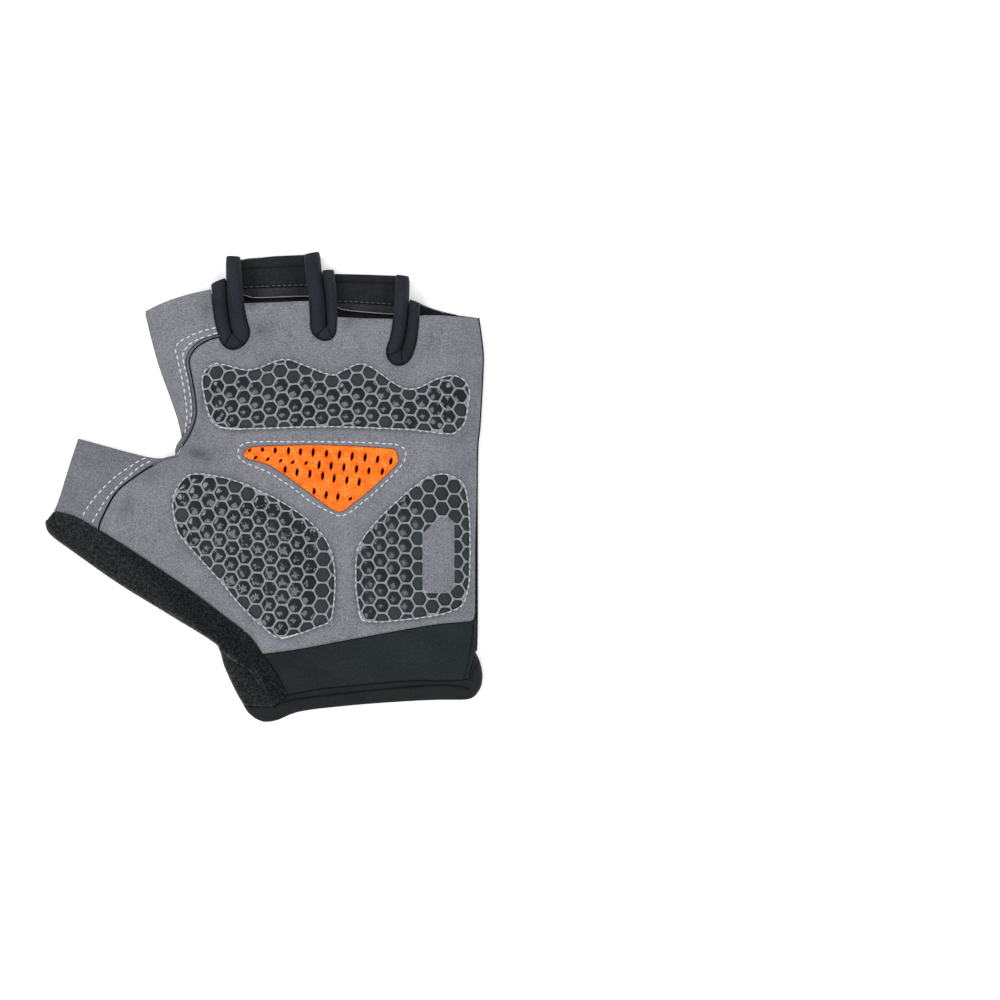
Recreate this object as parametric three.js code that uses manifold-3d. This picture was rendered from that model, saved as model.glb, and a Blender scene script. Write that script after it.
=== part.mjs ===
// Half-finger fitness glove for the left hand, lying on its back with the palm up.
// Millimetres, +Z up, fingers towards +Y, thumb towards -X, the floor at z = 0.
import * as THREE from 'three';
import { mergeVertices } from 'three/addons/utils/BufferGeometryUtils.js';
import Module from 'manifold-3d';

const wasm = await Module();
wasm.setup();

// Driving dimensions
const gap = 0.3; // room between neighbouring pieces
const grid = 8; // spacing of the facets on the large sheets
const suedeWall = 1.2;
const stretchWall = 1.2;
const cuffWall = 1.7;
const hemWall = 2.3;
const terryWall = 2.3;
const meshWall = 0.9;
const fingerHemWall = 0.9;
const seamHeight = 3.6; // height of the side seam where the palm sheet starts to rise
const palmRound = 18; // width over which the palm sheet curves up from a side seam
const backRound = 12; // width over which the back sheet curves down from a side seam
const handRoom = 12.6; // height of the palm sheet's inner face in the middle of the hand
const fingerRoom = 9.4;
const wristRoom = 9.6;
const thumbRoom = 9.2;
const fingersLower = { from: 32, to: 66 }; // the stretches over which the hand's room shrinks to these
const wristLowers = { from: 42, to: 76 };
const thumbLowers = { from: 28, to: 60 };
const thumbEnds = { from: 16, to: 34 };
const slitLift = 6; // how much fuller the palm sheet is beside a gusset than beside a side seam
const gussetWidth = 5.2; // width of one arm of a gusset, seen from above
const gussetWall = 1.2;
const gussetProud = 0.6; // how far a gusset stands above the palm sheet
const chordAllowance = 0.15; // extra room round a gusset, whose curved side is made of flat facets
const padEdge = 0.6; // height of a gel pad along its border
const padCrown = 1.7; // extra height of a gel pad inside its border
const padRound = 5;
const backReach = 1.2; // how far the back shows past the palm along the little finger's side
const foldRadius = 2; // radius of the fold where the towelling and the hem turn round the edge
const slotWidth = 0.95;
const slotLength = 2.5;
const slotMargin = 0.6; // least cloth between a slot and the vent's border
const slotRows = 4;
const slotColumns = 12;
const slotPitch = 4.37; // from slot to slot in a row
const rowShift = 1; // each row starts this much further right than the one above
const rowPitch = { left: 4, right: 5.4, from: 6, to: 20 }; // the rows fan out to the right
const firstSlot = { x: -4, y: 12.1, sag: 0.0016 }; // the top row droops to the right
const farAway = 30; // half the height of the upright blocks that trim the sheets

// Seam lines and outlines, seen from above
const indexSide = [
  [-40.8, 59.0], [-38.4, 49.3], [-36.0, 40.8], [-32.6, 31.3], [-29.9, 23.5], [-28.6, 17.3],
  [-28.6, 13.6],
];
const crotch = [-30.3, 10.2];
const thumbTop = [[-30.3, 10.2], [-37.1, 9.4], [-45.6, 11.1], [-54.1, 13.4], [-63.3, 16.0]];
const thumbMouth = [[-63.3, 16.0], [-65.1, 9.2], [-68.0, -0.7], [-69.8, -5.8], [-70.4, -9.5]];
const thumbUnder = [
  [-74.6, -12.9], [-73.1, -16.3], [-64.3, -22.8], [-49.3, -33.3], [-32.0, -43.9], [-17.7, -52.7],
  [-15.3, -55.8], [-13.6, -61.2], [-10.2, -68.7], [-6.9, -74.6],
];
const hemFold = [[-6.9, -74.6], [-5.4, -77.0], [-3.1, -79.0]];
const terryByThumb = [[-70.4, -9.5], [-64.3, -10.5], [-56.1, -15.0]];
const terryByPalm = [
  [-56.1, -15.0], [-45.9, -21.3], [-35.0, -28.4], [-24.1, -35.9], [-13.3, -44.2], [-5.1, -50.6],
  [-0.3, -57.1],
];
const terryByCuff = [[-0.3, -57.1], [2.5, -61.0], [5.3, -65.6], [7.8, -71.2]];
const terryBack = [[-30.3, 10.2], [-25.0, -10.0], [-17.0, -30.0], [-7.0, -50.0], [2.0, -75.2]];
const thumbSeam = [[-56.1, -15.0], [-54.7, -10.9], [-49.6, -1.9], [-41.7, 4.3], [-30.3, 10.2]];
const indexSeam = [
  [-30.3, 10.2], [-25.2, 17.5], [-23.0, 23.1], [-22.8, 27.9], [-25.0, 42.2], [-24.3, 45.1],
  [-18.7, 49.5], [-11.4, 51.6],
];
const ulnarSide = [
  [73.4, 57.2], [74.8, 46.2], [74.8, 38.8], [73.8, 20.7], [72.9, 7.5], [72.8, -49.0], [72.1, -57.0],
];
const hemSide = [[72.1, -57.0], [73.4, -59.8], [74.1, -64.0], [73.6, -68.0], [71.8, -70.9]];
const palmBottom = [
  [71.4, -45.6], [70.0, -46.3], [56.1, -47.4], [30.9, -51.9], [12.2, -55.4], [-0.3, -57.1],
];
const cuffBottom = [
  [7.8, -71.2], [17.7, -69.2], [30.9, -67.8], [49.0, -66.2], [67.8, -66.0], [70.0, -63.2],
  [72.1, -57.0],
];
const hemByTerry = [[-6.9, -74.6], [-1.0, -75.0], [2.0, -75.2]];
const hemByBack = [[2.0, -75.2], [4.6, -74.0], [7.8, -71.2]];
const hemBottom = [
  [71.8, -70.9], [69.0, -72.3], [58.8, -72.3], [46.2, -72.9], [29.2, -74.2], [12.6, -76.2],
  [4.5, -79.3], [0.0, -80.2], [-3.1, -79.0],
];
const ventOpening = [
  [-6.8, 10.5], [-4.1, 13.1], [7.8, 13.8], [22.4, 13.9], [42.2, 12.8], [44.9, 11.9], [45.7, 9.9],
  [44.9, 6.8], [36.4, -1.3], [29.9, -6.5], [26.7, -8.7], [23.5, -8.1], [17.0, -3.5], [7.8, 3.3],
  [1.4, 7.2], [-5.4, 9.2],
];
const knucklePad = [
  [-20.7, 34.5], [-20.1, 38.4], [-16.9, 41.4], [-12.9, 41.1], [-4.5, 39.4], [4.0, 42.3], [8.4, 43.0],
  [13.1, 41.4], [22.8, 37.8], [27.4, 39.4], [32.6, 41.5], [37.1, 40.1], [48.9, 32.9], [59.3, 36.5],
  [64.5, 37.6], [68.3, 35.8], [70.0, 32.0], [69.4, 26.7], [68.3, 21.5], [65.1, 18.0], [61.2, 17.6],
  [49.5, 18.9], [22.2, 19.9], [-7.1, 19.2], [-14.3, 19.9], [-17.5, 22.2], [-19.4, 27.4],
];
const thenarPad = [
  [-30.8, -5.2], [-29.5, -1.0], [-26.4, 3.2], [-22.9, 4.2], [-16.0, 3.5], [-9.0, 1.8], [-0.7, -1.7],
  [6.3, -5.2], [13.2, -9.7], [18.8, -14.9], [22.2, -19.7], [24.0, -26.0], [24.5, -32.9], [24.0, -39.9],
  [22.9, -45.4], [18.8, -47.8], [6.3, -51.5], [-0.7, -47.2], [-7.6, -40.6], [-14.6, -32.2],
  [-27.0, -18.4], [-29.8, -12.8],
];
const heelPad = [
  [31.6, -23.2], [33.0, -19.0], [37.5, -12.8], [44.4, -5.9], [51.3, 0.0], [56.2, 3.2], [61.1, 4.2],
  [65.3, 2.8], [68.0, 0.4], [69.4, -5.2], [70.1, -13.5], [70.1, -26.0], [69.8, -32.9], [68.3, -39.2],
  [65.3, -42.0], [58.3, -44.0], [47.9, -45.4], [39.6, -46.1], [34.0, -45.4], [32.3, -41.2],
  [31.3, -32.9],
];

// The slits between the fingers, from their open end down to the crotch
const slits = {
  indexMiddle: {
    spine: [[-12.8, 79.6], [-12.6, 70.0], [-12.1, 62.2], [-11.2, 56.4], [-10.0, 51.8]],
    leftTop: 71.0,
    rightTop: 78.0,
  },
  middleRing: {
    spine: [[18.9, 80.0], [19.7, 71.7], [20.7, 64.9], [21.2, 58.1], [21.2, 53.8]],
    leftTop: 79.8,
    rightTop: 73.0,
  },
  ringLittle: {
    spine: [[49.5, 71.7], [49.3, 63.2], [48.6, 54.7], [47.6, 49.0], [46.6, 46.2]],
    leftTop: 71.2,
    rightTop: 63.0,
  },
};

// Where each finger's palm side and back end: left to right across the finger
const mouths = {
  index: { left: -42.0, right: -12.6, palmLeft: 59.3, palmRight: 67.6, backLeft: 59.3, backRight: 67.6 },
  middle: { left: -12.6, right: 19.7, palmLeft: 62.4, palmRight: 63.4, backLeft: 77.4, backRight: 78.4 },
  ring: { left: 19.7, right: 49.3, palmLeft: 57.8, palmRight: 56.8, backLeft: 71.8, backRight: 71.4 },
  little: { left: 49.3, right: 76.0, palmLeft: 58.3, palmRight: 57.2, backLeft: 63.2, backRight: 57.2 },
};
const middleHem = { low: [64.4, 64.8], left: -12.6, right: 19.7 };
const ringHem = { low: [59.6, 58.6], left: 19.7, right: 49.3 };

// Soft valleys in the palm, each along a straight line
const creases = [
  { fromX: -30, fromY: 10, toX: -8, toY: 4, depth: 1.5, width: 7 },
  { fromX: -50, fromY: -22, toX: -22, toY: -6, depth: 1.0, width: 8 },
  { fromX: 26, fromY: -14, toX: 28, toY: -50, depth: 0.8, width: 8 },
  { fromX: -18, fromY: 46, toX: 60, toY: 46, depth: 0.7, width: 9 },
];

// Colours and finishes
const suede = new THREE.MeshStandardMaterial({ color: 0x85868b, roughness: 0.95, metalness: 0 });
const stretch = new THREE.MeshStandardMaterial({ color: 0x25272b, roughness: 0.85, metalness: 0 });
const cuffCloth = new THREE.MeshStandardMaterial({ color: 0x26302f, roughness: 0.8, metalness: 0 });
const towelling = new THREE.MeshStandardMaterial({ color: 0x1d1e20, roughness: 1, metalness: 0 });
const orangeMesh = new THREE.MeshStandardMaterial({ color: 0xff6914, roughness: 0.7, metalness: 0 });
const gel = new THREE.MeshStandardMaterial({ color: 0x3a3c40, roughness: 0.3, metalness: 0 });

// Points along a smooth curve through the given ones
function curved(points, step = 7) {
  const curve = new THREE.SplineCurve(points.map(([x, y]) => new THREE.Vector2(x, y)));
  const count = Math.max(2, Math.round(curve.getLength() / step));
  return curve.getSpacedPoints(count).map((p) => [p.x, p.y]);
}

function reversed(points) {
  return [...points].reverse();
}

const line = {
  indexSide: curved([...indexSide, crotch]),
  thumbTop: curved(thumbTop),
  thumbMouth: curved(thumbMouth),
  thumbUnder: curved(thumbUnder),
  hemFold: curved(hemFold, 3),
  terryByThumb: curved(terryByThumb),
  terryByPalm: curved(terryByPalm),
  terryByCuff: curved(terryByCuff),
  terryBack: curved(terryBack, 8),
  thumbSeam: curved(thumbSeam),
  indexSeam: curved(indexSeam),
  ulnarSide: curved(ulnarSide, 7),
  hemSide: curved(hemSide, 3),
  palmBottom: curved(palmBottom, 6),
  cuffBottom: curved(cuffBottom),
  hemByTerry: curved(hemByTerry, 3),
  hemByBack: curved(hemByBack, 3),
  hemBottom: curved(hemBottom),
};

// The side seams, where palm and back meet, and the shape that they enclose when the mouths of the
// fingers, the thumb and the wrist are held wide open
const wideOpen = {
  fingers: [[72, 100], [-46, 100]],
  thumb: [[-90, 24], [-100, -6]],
  wrist: [[2, -100], [70, -100]],
};
const thumbEdge = [...line.thumbUnder, ...line.hemFold.slice(1)];
const littleEdge = [...line.ulnarSide, ...line.hemSide.slice(1)];
const closedEdges = [line.indexSide, line.thumbTop, thumbEdge, littleEdge];
const enclosed = [
  ...line.indexSide, ...line.thumbTop, ...wideOpen.thumb, ...thumbEdge, ...wideOpen.wrist,
  ...reversed(littleEdge), ...wideOpen.fingers,
];

function distanceToLine(x, y, points) {
  let best = Infinity;
  for (let i = 1; i < points.length; i += 1) {
    const [ax, ay] = points[i - 1];
    const [bx, by] = points[i];
    const lengthSquared = (bx - ax) ** 2 + (by - ay) ** 2;
    const t = THREE.MathUtils.clamp(((x - ax) * (bx - ax) + (y - ay) * (by - ay)) / lengthSquared, 0, 1);
    best = Math.min(best, Math.hypot(x - ax - t * (bx - ax), y - ay - t * (by - ay)));
  }
  return best;
}

function isInside(x, y, points) {
  let inside = false;
  for (let i = 0, j = points.length - 1; i < points.length; j = i, i += 1) {
    const [ax, ay] = points[i];
    const [bx, by] = points[j];
    if (ay > y !== by > y && x < ((bx - ax) * (y - ay)) / (by - ay) + ax) {
      inside = !inside;
    }
  }
  return inside;
}

// Distance inwards from the side seams, negative outside them
function depthInside(x, y) {
  const distance = Math.min(...closedEdges.map((points) => distanceToLine(x, y, points)));
  return isInside(x, y, enclosed) ? distance : -distance;
}

// From 0 at a seam and outside it to 1 where the sheet has levelled out, like the side of a pillow
function rise(depth, width) {
  return 1 - (1 - THREE.MathUtils.clamp(depth / width, 0, 1)) ** 2;
}

function room(x, y) {
  const { smoothstep } = THREE.MathUtils;
  const towardFingers = smoothstep(y, fingersLower.from, fingersLower.to);
  const towardWrist = smoothstep(-y, wristLowers.from, wristLowers.to);
  const towardThumb = smoothstep(-x, thumbLowers.from, thumbLowers.to);
  const aboveThumb = smoothstep(y, thumbEnds.from, thumbEnds.to);
  let height = handRoom;
  height -= (handRoom - fingerRoom) * towardFingers;
  height -= (handRoom - wristRoom) * towardWrist;
  height -= (handRoom - thumbRoom) * towardThumb * (1 - aboveThumb);
  return height;
}

function creaseDepth(x, y) {
  let depth = 0;
  for (const crease of creases) {
    const away = distanceToLine(x, y, [[crease.fromX, crease.fromY], [crease.toX, crease.toY]]);
    depth += crease.depth * Math.exp(-((away / crease.width) ** 2));
  }
  return depth;
}

// Inner face of the palm sheet
function palmInner(x, y) {
  const besideSlit = Math.min(...Object.values(slits).map((slit) => distanceToLine(x, y, slit.spine)));
  const depth = Math.min(depthInside(x, y), besideSlit + slitLift);
  const share = rise(depth, palmRound);
  return seamHeight + (room(x, y) - seamHeight) * share - creaseDepth(x, y) * share;
}

// Height of a wall above an inner face, so that it stays as thick on a slope as on the flat
function above(inner, wall) {
  return (x, y) => {
    const slopeX = (inner(x + 1, y) - inner(x - 1, y)) / 2;
    const slopeY = (inner(x, y + 1) - inner(x, y - 1)) / 2;
    return inner(x, y) + wall * Math.sqrt(1 + slopeX ** 2 + slopeY ** 2);
  };
}

// The back sheet lies on the floor and turns up to the side seams
function backOuter(wall) {
  return (x, y) => {
    const edge = seamHeight - gap - wall;
    return edge * (1 - rise(depthInside(x, y), backRound));
  };
}

function backInner(wall) {
  return (x, y) => backOuter(wall)(x, y) + wall;
}

// Height on the flat facets between grid points. Each square is split from its lower left to its
// upper right.
function onFacets(height) {
  return (x, y) => {
    const column = Math.floor(x / grid + 1e-9);
    const row = Math.floor(y / grid + 1e-9);
    const acrossX = x / grid - column;
    const acrossY = y / grid - row;
    const at = (i, j) => height((column + i) * grid, (row + j) * grid);
    if (acrossX >= acrossY) {
      return at(0, 0) + acrossX * (at(1, 0) - at(0, 0)) + acrossY * (at(1, 1) - at(1, 0));
    }
    return at(0, 0) + acrossY * (at(0, 1) - at(0, 0)) + acrossX * (at(1, 1) - at(0, 1));
  };
}

// A closed solid from a geometry whose shared corners are joined
function solid(geometry) {
  const bare = geometry.clone();
  bare.deleteAttribute('normal');
  bare.deleteAttribute('uv');
  const merged = mergeVertices(bare, 1e-5);
  return new wasm.Manifold(new wasm.Mesh({
    numProp: 3,
    vertProperties: new Float32Array(merged.attributes.position.array),
    triVerts: new Uint32Array(merged.index.array),
  }));
}

// The lower face of a box splits its squares the other way, so its triangles are turned to match the
// upper face
function alignDiagonals(geometry) {
  const lower = geometry.groups[5];
  const index = geometry.index;
  for (let i = lower.start; i < lower.start + lower.count; i += 6) {
    const [a, b, d, c] = [index.getX(i), index.getX(i + 1), index.getX(i + 2), index.getX(i + 4)];
    [a, b, c, a, c, d].forEach((corner, offset) => index.setX(i + offset, corner));
  }
}

// A sheet between two height functions over a rectangle that holds all the given points
function sheetOver(points, lower, upper, step = grid) {
  const xs = points.map((p) => p[0]);
  const ys = points.map((p) => p[1]);
  const [x0, x1] = [Math.floor(Math.min(...xs) / grid) * grid, Math.ceil(Math.max(...xs) / grid) * grid];
  const [y0, y1] = [Math.floor(Math.min(...ys) / grid) * grid, Math.ceil(Math.max(...ys) / grid) * grid];
  const geometry = new THREE.BoxGeometry(x1 - x0, y1 - y0, 2, (x1 - x0) / step, (y1 - y0) / step, 1);
  alignDiagonals(geometry);
  geometry.translate((x0 + x1) / 2, (y0 + y1) / 2, 0);
  const position = geometry.attributes.position;
  for (let i = 0; i < position.count; i += 1) {
    const x = Math.round(position.getX(i) / step) * step;
    const y = Math.round(position.getY(i) / step) * step;
    position.setXYZ(i, x, y, position.getZ(i) > 0 ? upper(x, y) : lower(x, y));
  }
  return solid(geometry);
}

// An upright block with the given outline, taller than the glove
function prism(points) {
  const shape = new THREE.Shape(points.map(([x, y]) => new THREE.Vector2(x, y)));
  const geometry = new THREE.ExtrudeGeometry(shape, { depth: 2 * farAway, bevelEnabled: false });
  geometry.translate(0, 0, -farAway);
  return solid(geometry);
}

// Unit vectors across a line, on its left side
function leftNormals(points) {
  return points.map((_, i) => {
    const [ax, ay] = points[Math.max(i - 1, 0)];
    const [bx, by] = points[Math.min(i + 1, points.length - 1)];
    const length = Math.hypot(bx - ax, by - ay);
    return [-(by - ay) / length, (bx - ax) / length];
  });
}

function offsetLine(points, distance) {
  const normals = leftNormals(points);
  return points.map(([x, y], i) => [x + normals[i][0] * distance, y + normals[i][1] * distance]);
}

// A thin upright wall along a seam, cut out of both neighbours to leave the gap between them
function seamCut(points, startOverrun = 2, endOverrun = 2) {
  const last = points.length - 1;
  const lengthen = ([ax, ay], [bx, by], overrun) => {
    const length = Math.hypot(bx - ax, by - ay);
    return [bx + ((bx - ax) / length) * overrun, by + ((by - ay) / length) * overrun];
  };
  const start = lengthen(points[1], points[0], startOverrun);
  const end = lengthen(points[last - 1], points[last], endOverrun);
  const longer = [start, ...points, end];
  return prism([...offsetLine(longer, gap / 2), ...reversed(offsetLine(longer, -gap / 2))]);
}

// The spine of a slit as a smooth line, and its end turned round the crotch
function slitStations(slit, leftTop, rightTop) {
  const armSteps = 3;
  const turnSteps = 6;
  const spine = curved(slit.spine, 1);
  const bottom = slit.spine[slit.spine.length - 1];
  const atHeight = (y) => {
    const after = Math.max(1, spine.findIndex((p) => p[1] <= y));
    const [ax, ay] = spine[after - 1];
    const [bx, by] = spine[after];
    return ax + ((bx - ax) * (y - ay)) / (by - ay);
  };
  const stations = [];
  const armPoint = (top, share) => {
    const y = top + (bottom[1] - top) * share;
    return [atHeight(y), y];
  };
  const finish = armPoint(leftTop, 1);
  const before = armPoint(leftTop, 0.9);
  const heading = Math.atan2(finish[1] - before[1], finish[0] - before[0]);
  for (let i = 0; i < armSteps; i += 1) {
    const [x, y] = armPoint(leftTop, i / armSteps);
    const [nextX, nextY] = armPoint(leftTop, (i + 1) / armSteps);
    const direction = Math.atan2(nextY - y, nextX - x);
    stations.push({ x, y, outX: Math.sin(direction), outY: -Math.cos(direction) });
  }
  for (let i = 0; i <= turnSteps; i += 1) {
    const angle = heading - Math.PI / 2 + (Math.PI * i) / turnSteps;
    stations.push({ x: bottom[0], y: bottom[1], outX: Math.cos(angle), outY: Math.sin(angle) });
  }
  for (let i = armSteps - 1; i >= 0; i -= 1) {
    const [x, y] = armPoint(rightTop, i / armSteps);
    const [nextX, nextY] = armPoint(rightTop, (i + 1) / armSteps);
    const direction = Math.atan2(nextY - y, nextX - x);
    stations.push({ x, y, outX: -Math.sin(direction), outY: Math.cos(direction) });
  }
  return stations;
}

// The strip that a gusset takes out of the palm and the back
function slitCut(slit) {
  const beyond = slit.spine[0][1] + 4;
  const longer = { ...slit, spine: [[slit.spine[0][0], beyond + 1], ...slit.spine] };
  const reach = gussetWidth + gap / 2 + gap + chordAllowance;
  const stations = slitStations(longer, beyond, beyond);
  return prism(stations.map((s) => [s.x + s.outX * reach, s.y + s.outY * reach]));
}

// A gusset: a gutter that is open towards both fingers and runs down one side of the slit and up the other
function gusset(slit) {
  const stations = slitStations(slit, slit.leftTop, slit.rightTop);
  const around = 8;
  const squareness = 2.6;
  const geometry = new THREE.BoxGeometry(1, 1, 1, around, 1, stations.length - 1);
  const position = geometry.attributes.position;
  const bent = (value) => Math.sign(value) * Math.abs(value) ** (2 / squareness);
  for (let i = 0; i < position.count; i += 1) {
    const station = stations[Math.round((position.getZ(i) + 0.5) * (stations.length - 1))];
    const angle = -position.getX(i) * Math.PI;
    const inset = position.getY(i) > 0 ? 0 : gussetWall;
    const reach = gussetWidth + gap;
    const besideX = station.x + station.outX * reach;
    const besideY = station.y + station.outY * reach;
    const beside = above(palmInner, suedeWall)(besideX, besideY);
    const half = (beside + gussetProud) / 2;
    const across = gap / 2 + gussetWidth - (gussetWidth - inset) * bent(Math.cos(angle));
    const height = half + (half - inset) * bent(Math.sin(angle));
    const x = station.x + station.outX * across;
    const y = station.y + station.outY * across;
    position.setXYZ(i, x, y, height);
  }
  return solid(geometry);
}

// A round fold along a side edge, kept inside the outline
function edgeFold(points) {
  const middle = seamHeight - gap / 2;
  const inner = offsetLine(points, foldRadius).map(([x, y]) => new THREE.Vector3(x, y, middle));
  const section = new THREE.Shape(
    Array.from({ length: 6 }, (_, i) => {
      const angle = (i * Math.PI) / 3;
      return new THREE.Vector2(foldRadius * Math.cos(angle), foldRadius * Math.sin(angle));
    }),
  );
  const path = new THREE.CatmullRomCurve3(inner);
  const settings = { steps: inner.length - 1, extrudePath: path, bevelEnabled: false };
  return solid(new THREE.ExtrudeGeometry(section, settings));
}

function named(name, body, material) {
  const data = body.getMesh();
  const geometry = new THREE.BufferGeometry();
  geometry.setAttribute('position', new THREE.BufferAttribute(new Float32Array(data.vertProperties), 3));
  geometry.setIndex(new THREE.BufferAttribute(new Uint32Array(data.triVerts), 1));
  geometry.computeVertexNormals();
  const mesh = new THREE.Mesh(geometry, material);
  mesh.name = name;
  return mesh;
}

// The line across all four finger mouths, from the index finger to the little finger
function mouthLine(left, right, from = ['index', 'middle', 'ring', 'little']) {
  return from.flatMap((finger) => [
    [mouths[finger].left, mouths[finger][left]],
    [mouths[finger].right, mouths[finger][right]],
  ]);
}

// Joins lines end to end into one outline and drops the doubled points where they meet
function joined(...lines) {
  const points = lines.flat();
  return points.filter(([x, y], i) => {
    const [nextX, nextY] = points[(i + 1) % points.length];
    return Math.hypot(nextX - x, nextY - y) > 0.05;
  });
}

const palmSide = offsetLine(line.ulnarSide, -backReach);
const besidePalm = palmSide.filter(([, y]) => y > -44 && y < 56);
const besideCuff = palmSide.filter(([, y]) => y < -47 && y > -56);
const terryFrontLine = joined(line.terryByThumb, line.terryByPalm, line.terryByCuff, [[7.8, -71.2]]);
const hemLeftLine = joined(line.hemByTerry, line.hemByBack, [[7.8, -71.2]]);

const palmOutline = joined(
  line.indexSeam, mouthLine('palmLeft', 'palmRight', ['middle', 'ring', 'little']).slice(0, -1),
  [[72.2, 57.3]], besidePalm, line.palmBottom, reversed(line.terryByPalm), line.thumbSeam,
);
const indexOutline = joined(line.indexSeam, [[-12.6, 67.6], [-41, 59.6]], line.indexSide);
const thumbOutline = joined(line.thumbSeam, line.thumbTop, line.thumbMouth, line.terryByThumb);
const cuffOutline = joined(
  reversed(line.palmBottom), besideCuff, reversed(line.cuffBottom), reversed(line.terryByCuff),
);
const terryFrontOutline = joined(
  line.terryByThumb, line.terryByPalm, line.terryByCuff, reversed(line.hemByBack),
  reversed(line.hemByTerry), reversed(line.thumbUnder),
);
const terryBackOutline = joined(
  line.terryBack, reversed(line.hemByTerry), reversed(line.thumbUnder), reversed(line.thumbTop),
);
const hemOutline = joined(
  line.hemByTerry, line.hemByBack, line.cuffBottom, line.hemSide, line.hemBottom, reversed(line.hemFold),
);
const backOutline = joined(
  reversed(line.indexSide), mouthLine('backLeft', 'backRight').slice(1, -1), line.ulnarSide,
  reversed(line.cuffBottom), reversed(line.hemByBack), reversed(line.terryBack),
);

const slitCuts = Object.values(slits).map(slitCut);

function cutBy(body, cutters) {
  return cutters.reduce((left, cutter) => left.subtract(cutter), body);
}

function panel(outline, inner, wall, cutters, step = grid) {
  return cutBy(sheetOver(outline, inner, above(inner, wall), step).intersect(prism(outline)), cutters);
}

function backSheet(outline, wall, cutters) {
  return cutBy(sheetOver(outline, backOuter(wall), backInner(wall)).intersect(prism(outline)), cutters);
}

const cut = {
  indexSeam: seamCut(line.indexSeam),
  thumbSeam: seamCut(line.thumbSeam),
  palmBottom: seamCut(line.palmBottom),
  terryFront: seamCut(terryFrontLine, 2, 0.01),
  terryBack: seamCut(line.terryBack),
  cuffBottom: seamCut(line.cuffBottom, 0.01, 3),
  hemLeft: seamCut(hemLeftLine, 3, 0.01),
};
const hemCuts = [cut.cuffBottom, cut.hemLeft];
const ventCut = prism(curved([...ventOpening, ventOpening[0]], 4).slice(0, -1));

// Palm side
const palmPanel = panel(palmOutline, palmInner, suedeWall, [
  cut.indexSeam, cut.thumbSeam, cut.palmBottom, cut.terryFront, ventCut, ...slitCuts,
]);
const indexPanel = panel(indexOutline, palmInner, suedeWall, [cut.indexSeam, slitCuts[0]]);
const thumbPanel = panel(thumbOutline, palmInner, suedeWall, [cut.thumbSeam, cut.terryFront]);
const cuffPanel = panel(cuffOutline, palmInner, cuffWall, [cut.palmBottom, cut.terryFront, ...hemCuts]);

// The vent's mesh with its rows of slots
function meshVent() {
  const outline = curved([...ventOpening, ventOpening[0]], 4).slice(0, -1);
  const inset = offsetLine([outline.at(-1), ...outline, outline[0]], -gap).slice(1, -1);
  const meshInner = (x, y) => above(palmInner, suedeWall)(x, y) - meshWall - gap / 2;
  let body = sheetOver(inset, meshInner, above(meshInner, meshWall)).intersect(prism(inset));
  const half = slotLength / 2;
  const side = slotWidth / 2;
  for (let row = 0; row < slotRows; row += 1) {
    for (let column = 0; column < slotColumns; column += 1) {
      const x = firstSlot.x + column * slotPitch + row * rowShift;
      const fan = THREE.MathUtils.smoothstep(x, rowPitch.from, rowPitch.to);
      const pitch = THREE.MathUtils.lerp(rowPitch.left, rowPitch.right, fan);
      const y = firstSlot.y - firstSlot.sag * x * x - row * pitch;
      const ends = [[x, y - half], [x, y + half]];
      const clear = ends.every(([endX, endY]) => (
        isInside(endX, endY, inset) && distanceToLine(endX, endY, [...inset, inset[0]]) > slotMargin
      ));
      if (clear) {
        body = body.subtract(prism([
          [x, y - half], [x + side, y - half + side], [x + side, y + half - side],
          [x, y + half], [x - side, y + half - side], [x - side, y - half + side],
        ]));
      }
    }
  }
  return body;
}

// A gel pad: a low cushion on the palm with a rounded border
function gelPad(points) {
  const outline = curved([...points, points[0]], 6).slice(0, -1);
  const loop = [...outline, outline[0]];
  const under = onFacets(above(palmInner, suedeWall));
  const lower = (x, y) => under(x, y) + gap;
  const upper = (x, y) => {
    const distance = distanceToLine(x, y, loop);
    const depth = isInside(x, y, outline) ? distance : -distance;
    return lower(x, y) + padEdge + padCrown * rise(depth, padRound);
  };
  return sheetOver(outline, lower, upper, grid / 2).intersect(prism(outline));
}

// Towelling: front strip, fold and back in one piece
const terryFold = edgeFold(curved([[-79, -10], ...thumbUnder, ...hemFold.slice(1), [-1, -84]], 6));
const terryPanel = panel(terryFrontOutline, palmInner, terryWall, [cut.terryFront], grid / 2)
  .add(backSheet(terryBackOutline, terryWall, [cut.terryBack]))
  .add(terryFold.intersect(prism(terryFrontOutline)))
  .subtract(cut.hemLeft);

// Wrist hem: front and back bands joined by a fold at both sides
const ulnarFold = edgeFold(reversed(curved([[72.6, -52], ...hemSide, [66, -78]], 4)));
const wristBinding = panel(hemOutline, palmInner, hemWall, [])
  .add(backSheet(hemOutline, hemWall, []))
  .add(terryFold.intersect(prism(hemOutline)))
  .add(ulnarFold.intersect(prism(hemOutline)))
  .subtract(cut.cuffBottom)
  .subtract(cut.hemLeft);

const backPanel = backSheet(backOutline, stretchWall, [cut.terryBack, ...hemCuts, ...slitCuts]);

// A turned-in hem that lies inside the back of a finger
function fingerHem(outline, cutters) {
  const lower = (x, y) => onFacets(backInner(stretchWall))(x, y) + gap;
  const upper = (x, y) => lower(x, y) + fingerHemWall;
  return cutBy(sheetOver(outline, lower, upper).intersect(prism(outline)), cutters);
}

function hemBand(finger, hem) {
  return [
    [hem.left, hem.low[0]], [hem.right, hem.low[1]],
    [hem.right, mouths[finger].backRight - gap], [hem.left, mouths[finger].backLeft - gap],
  ];
}

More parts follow.
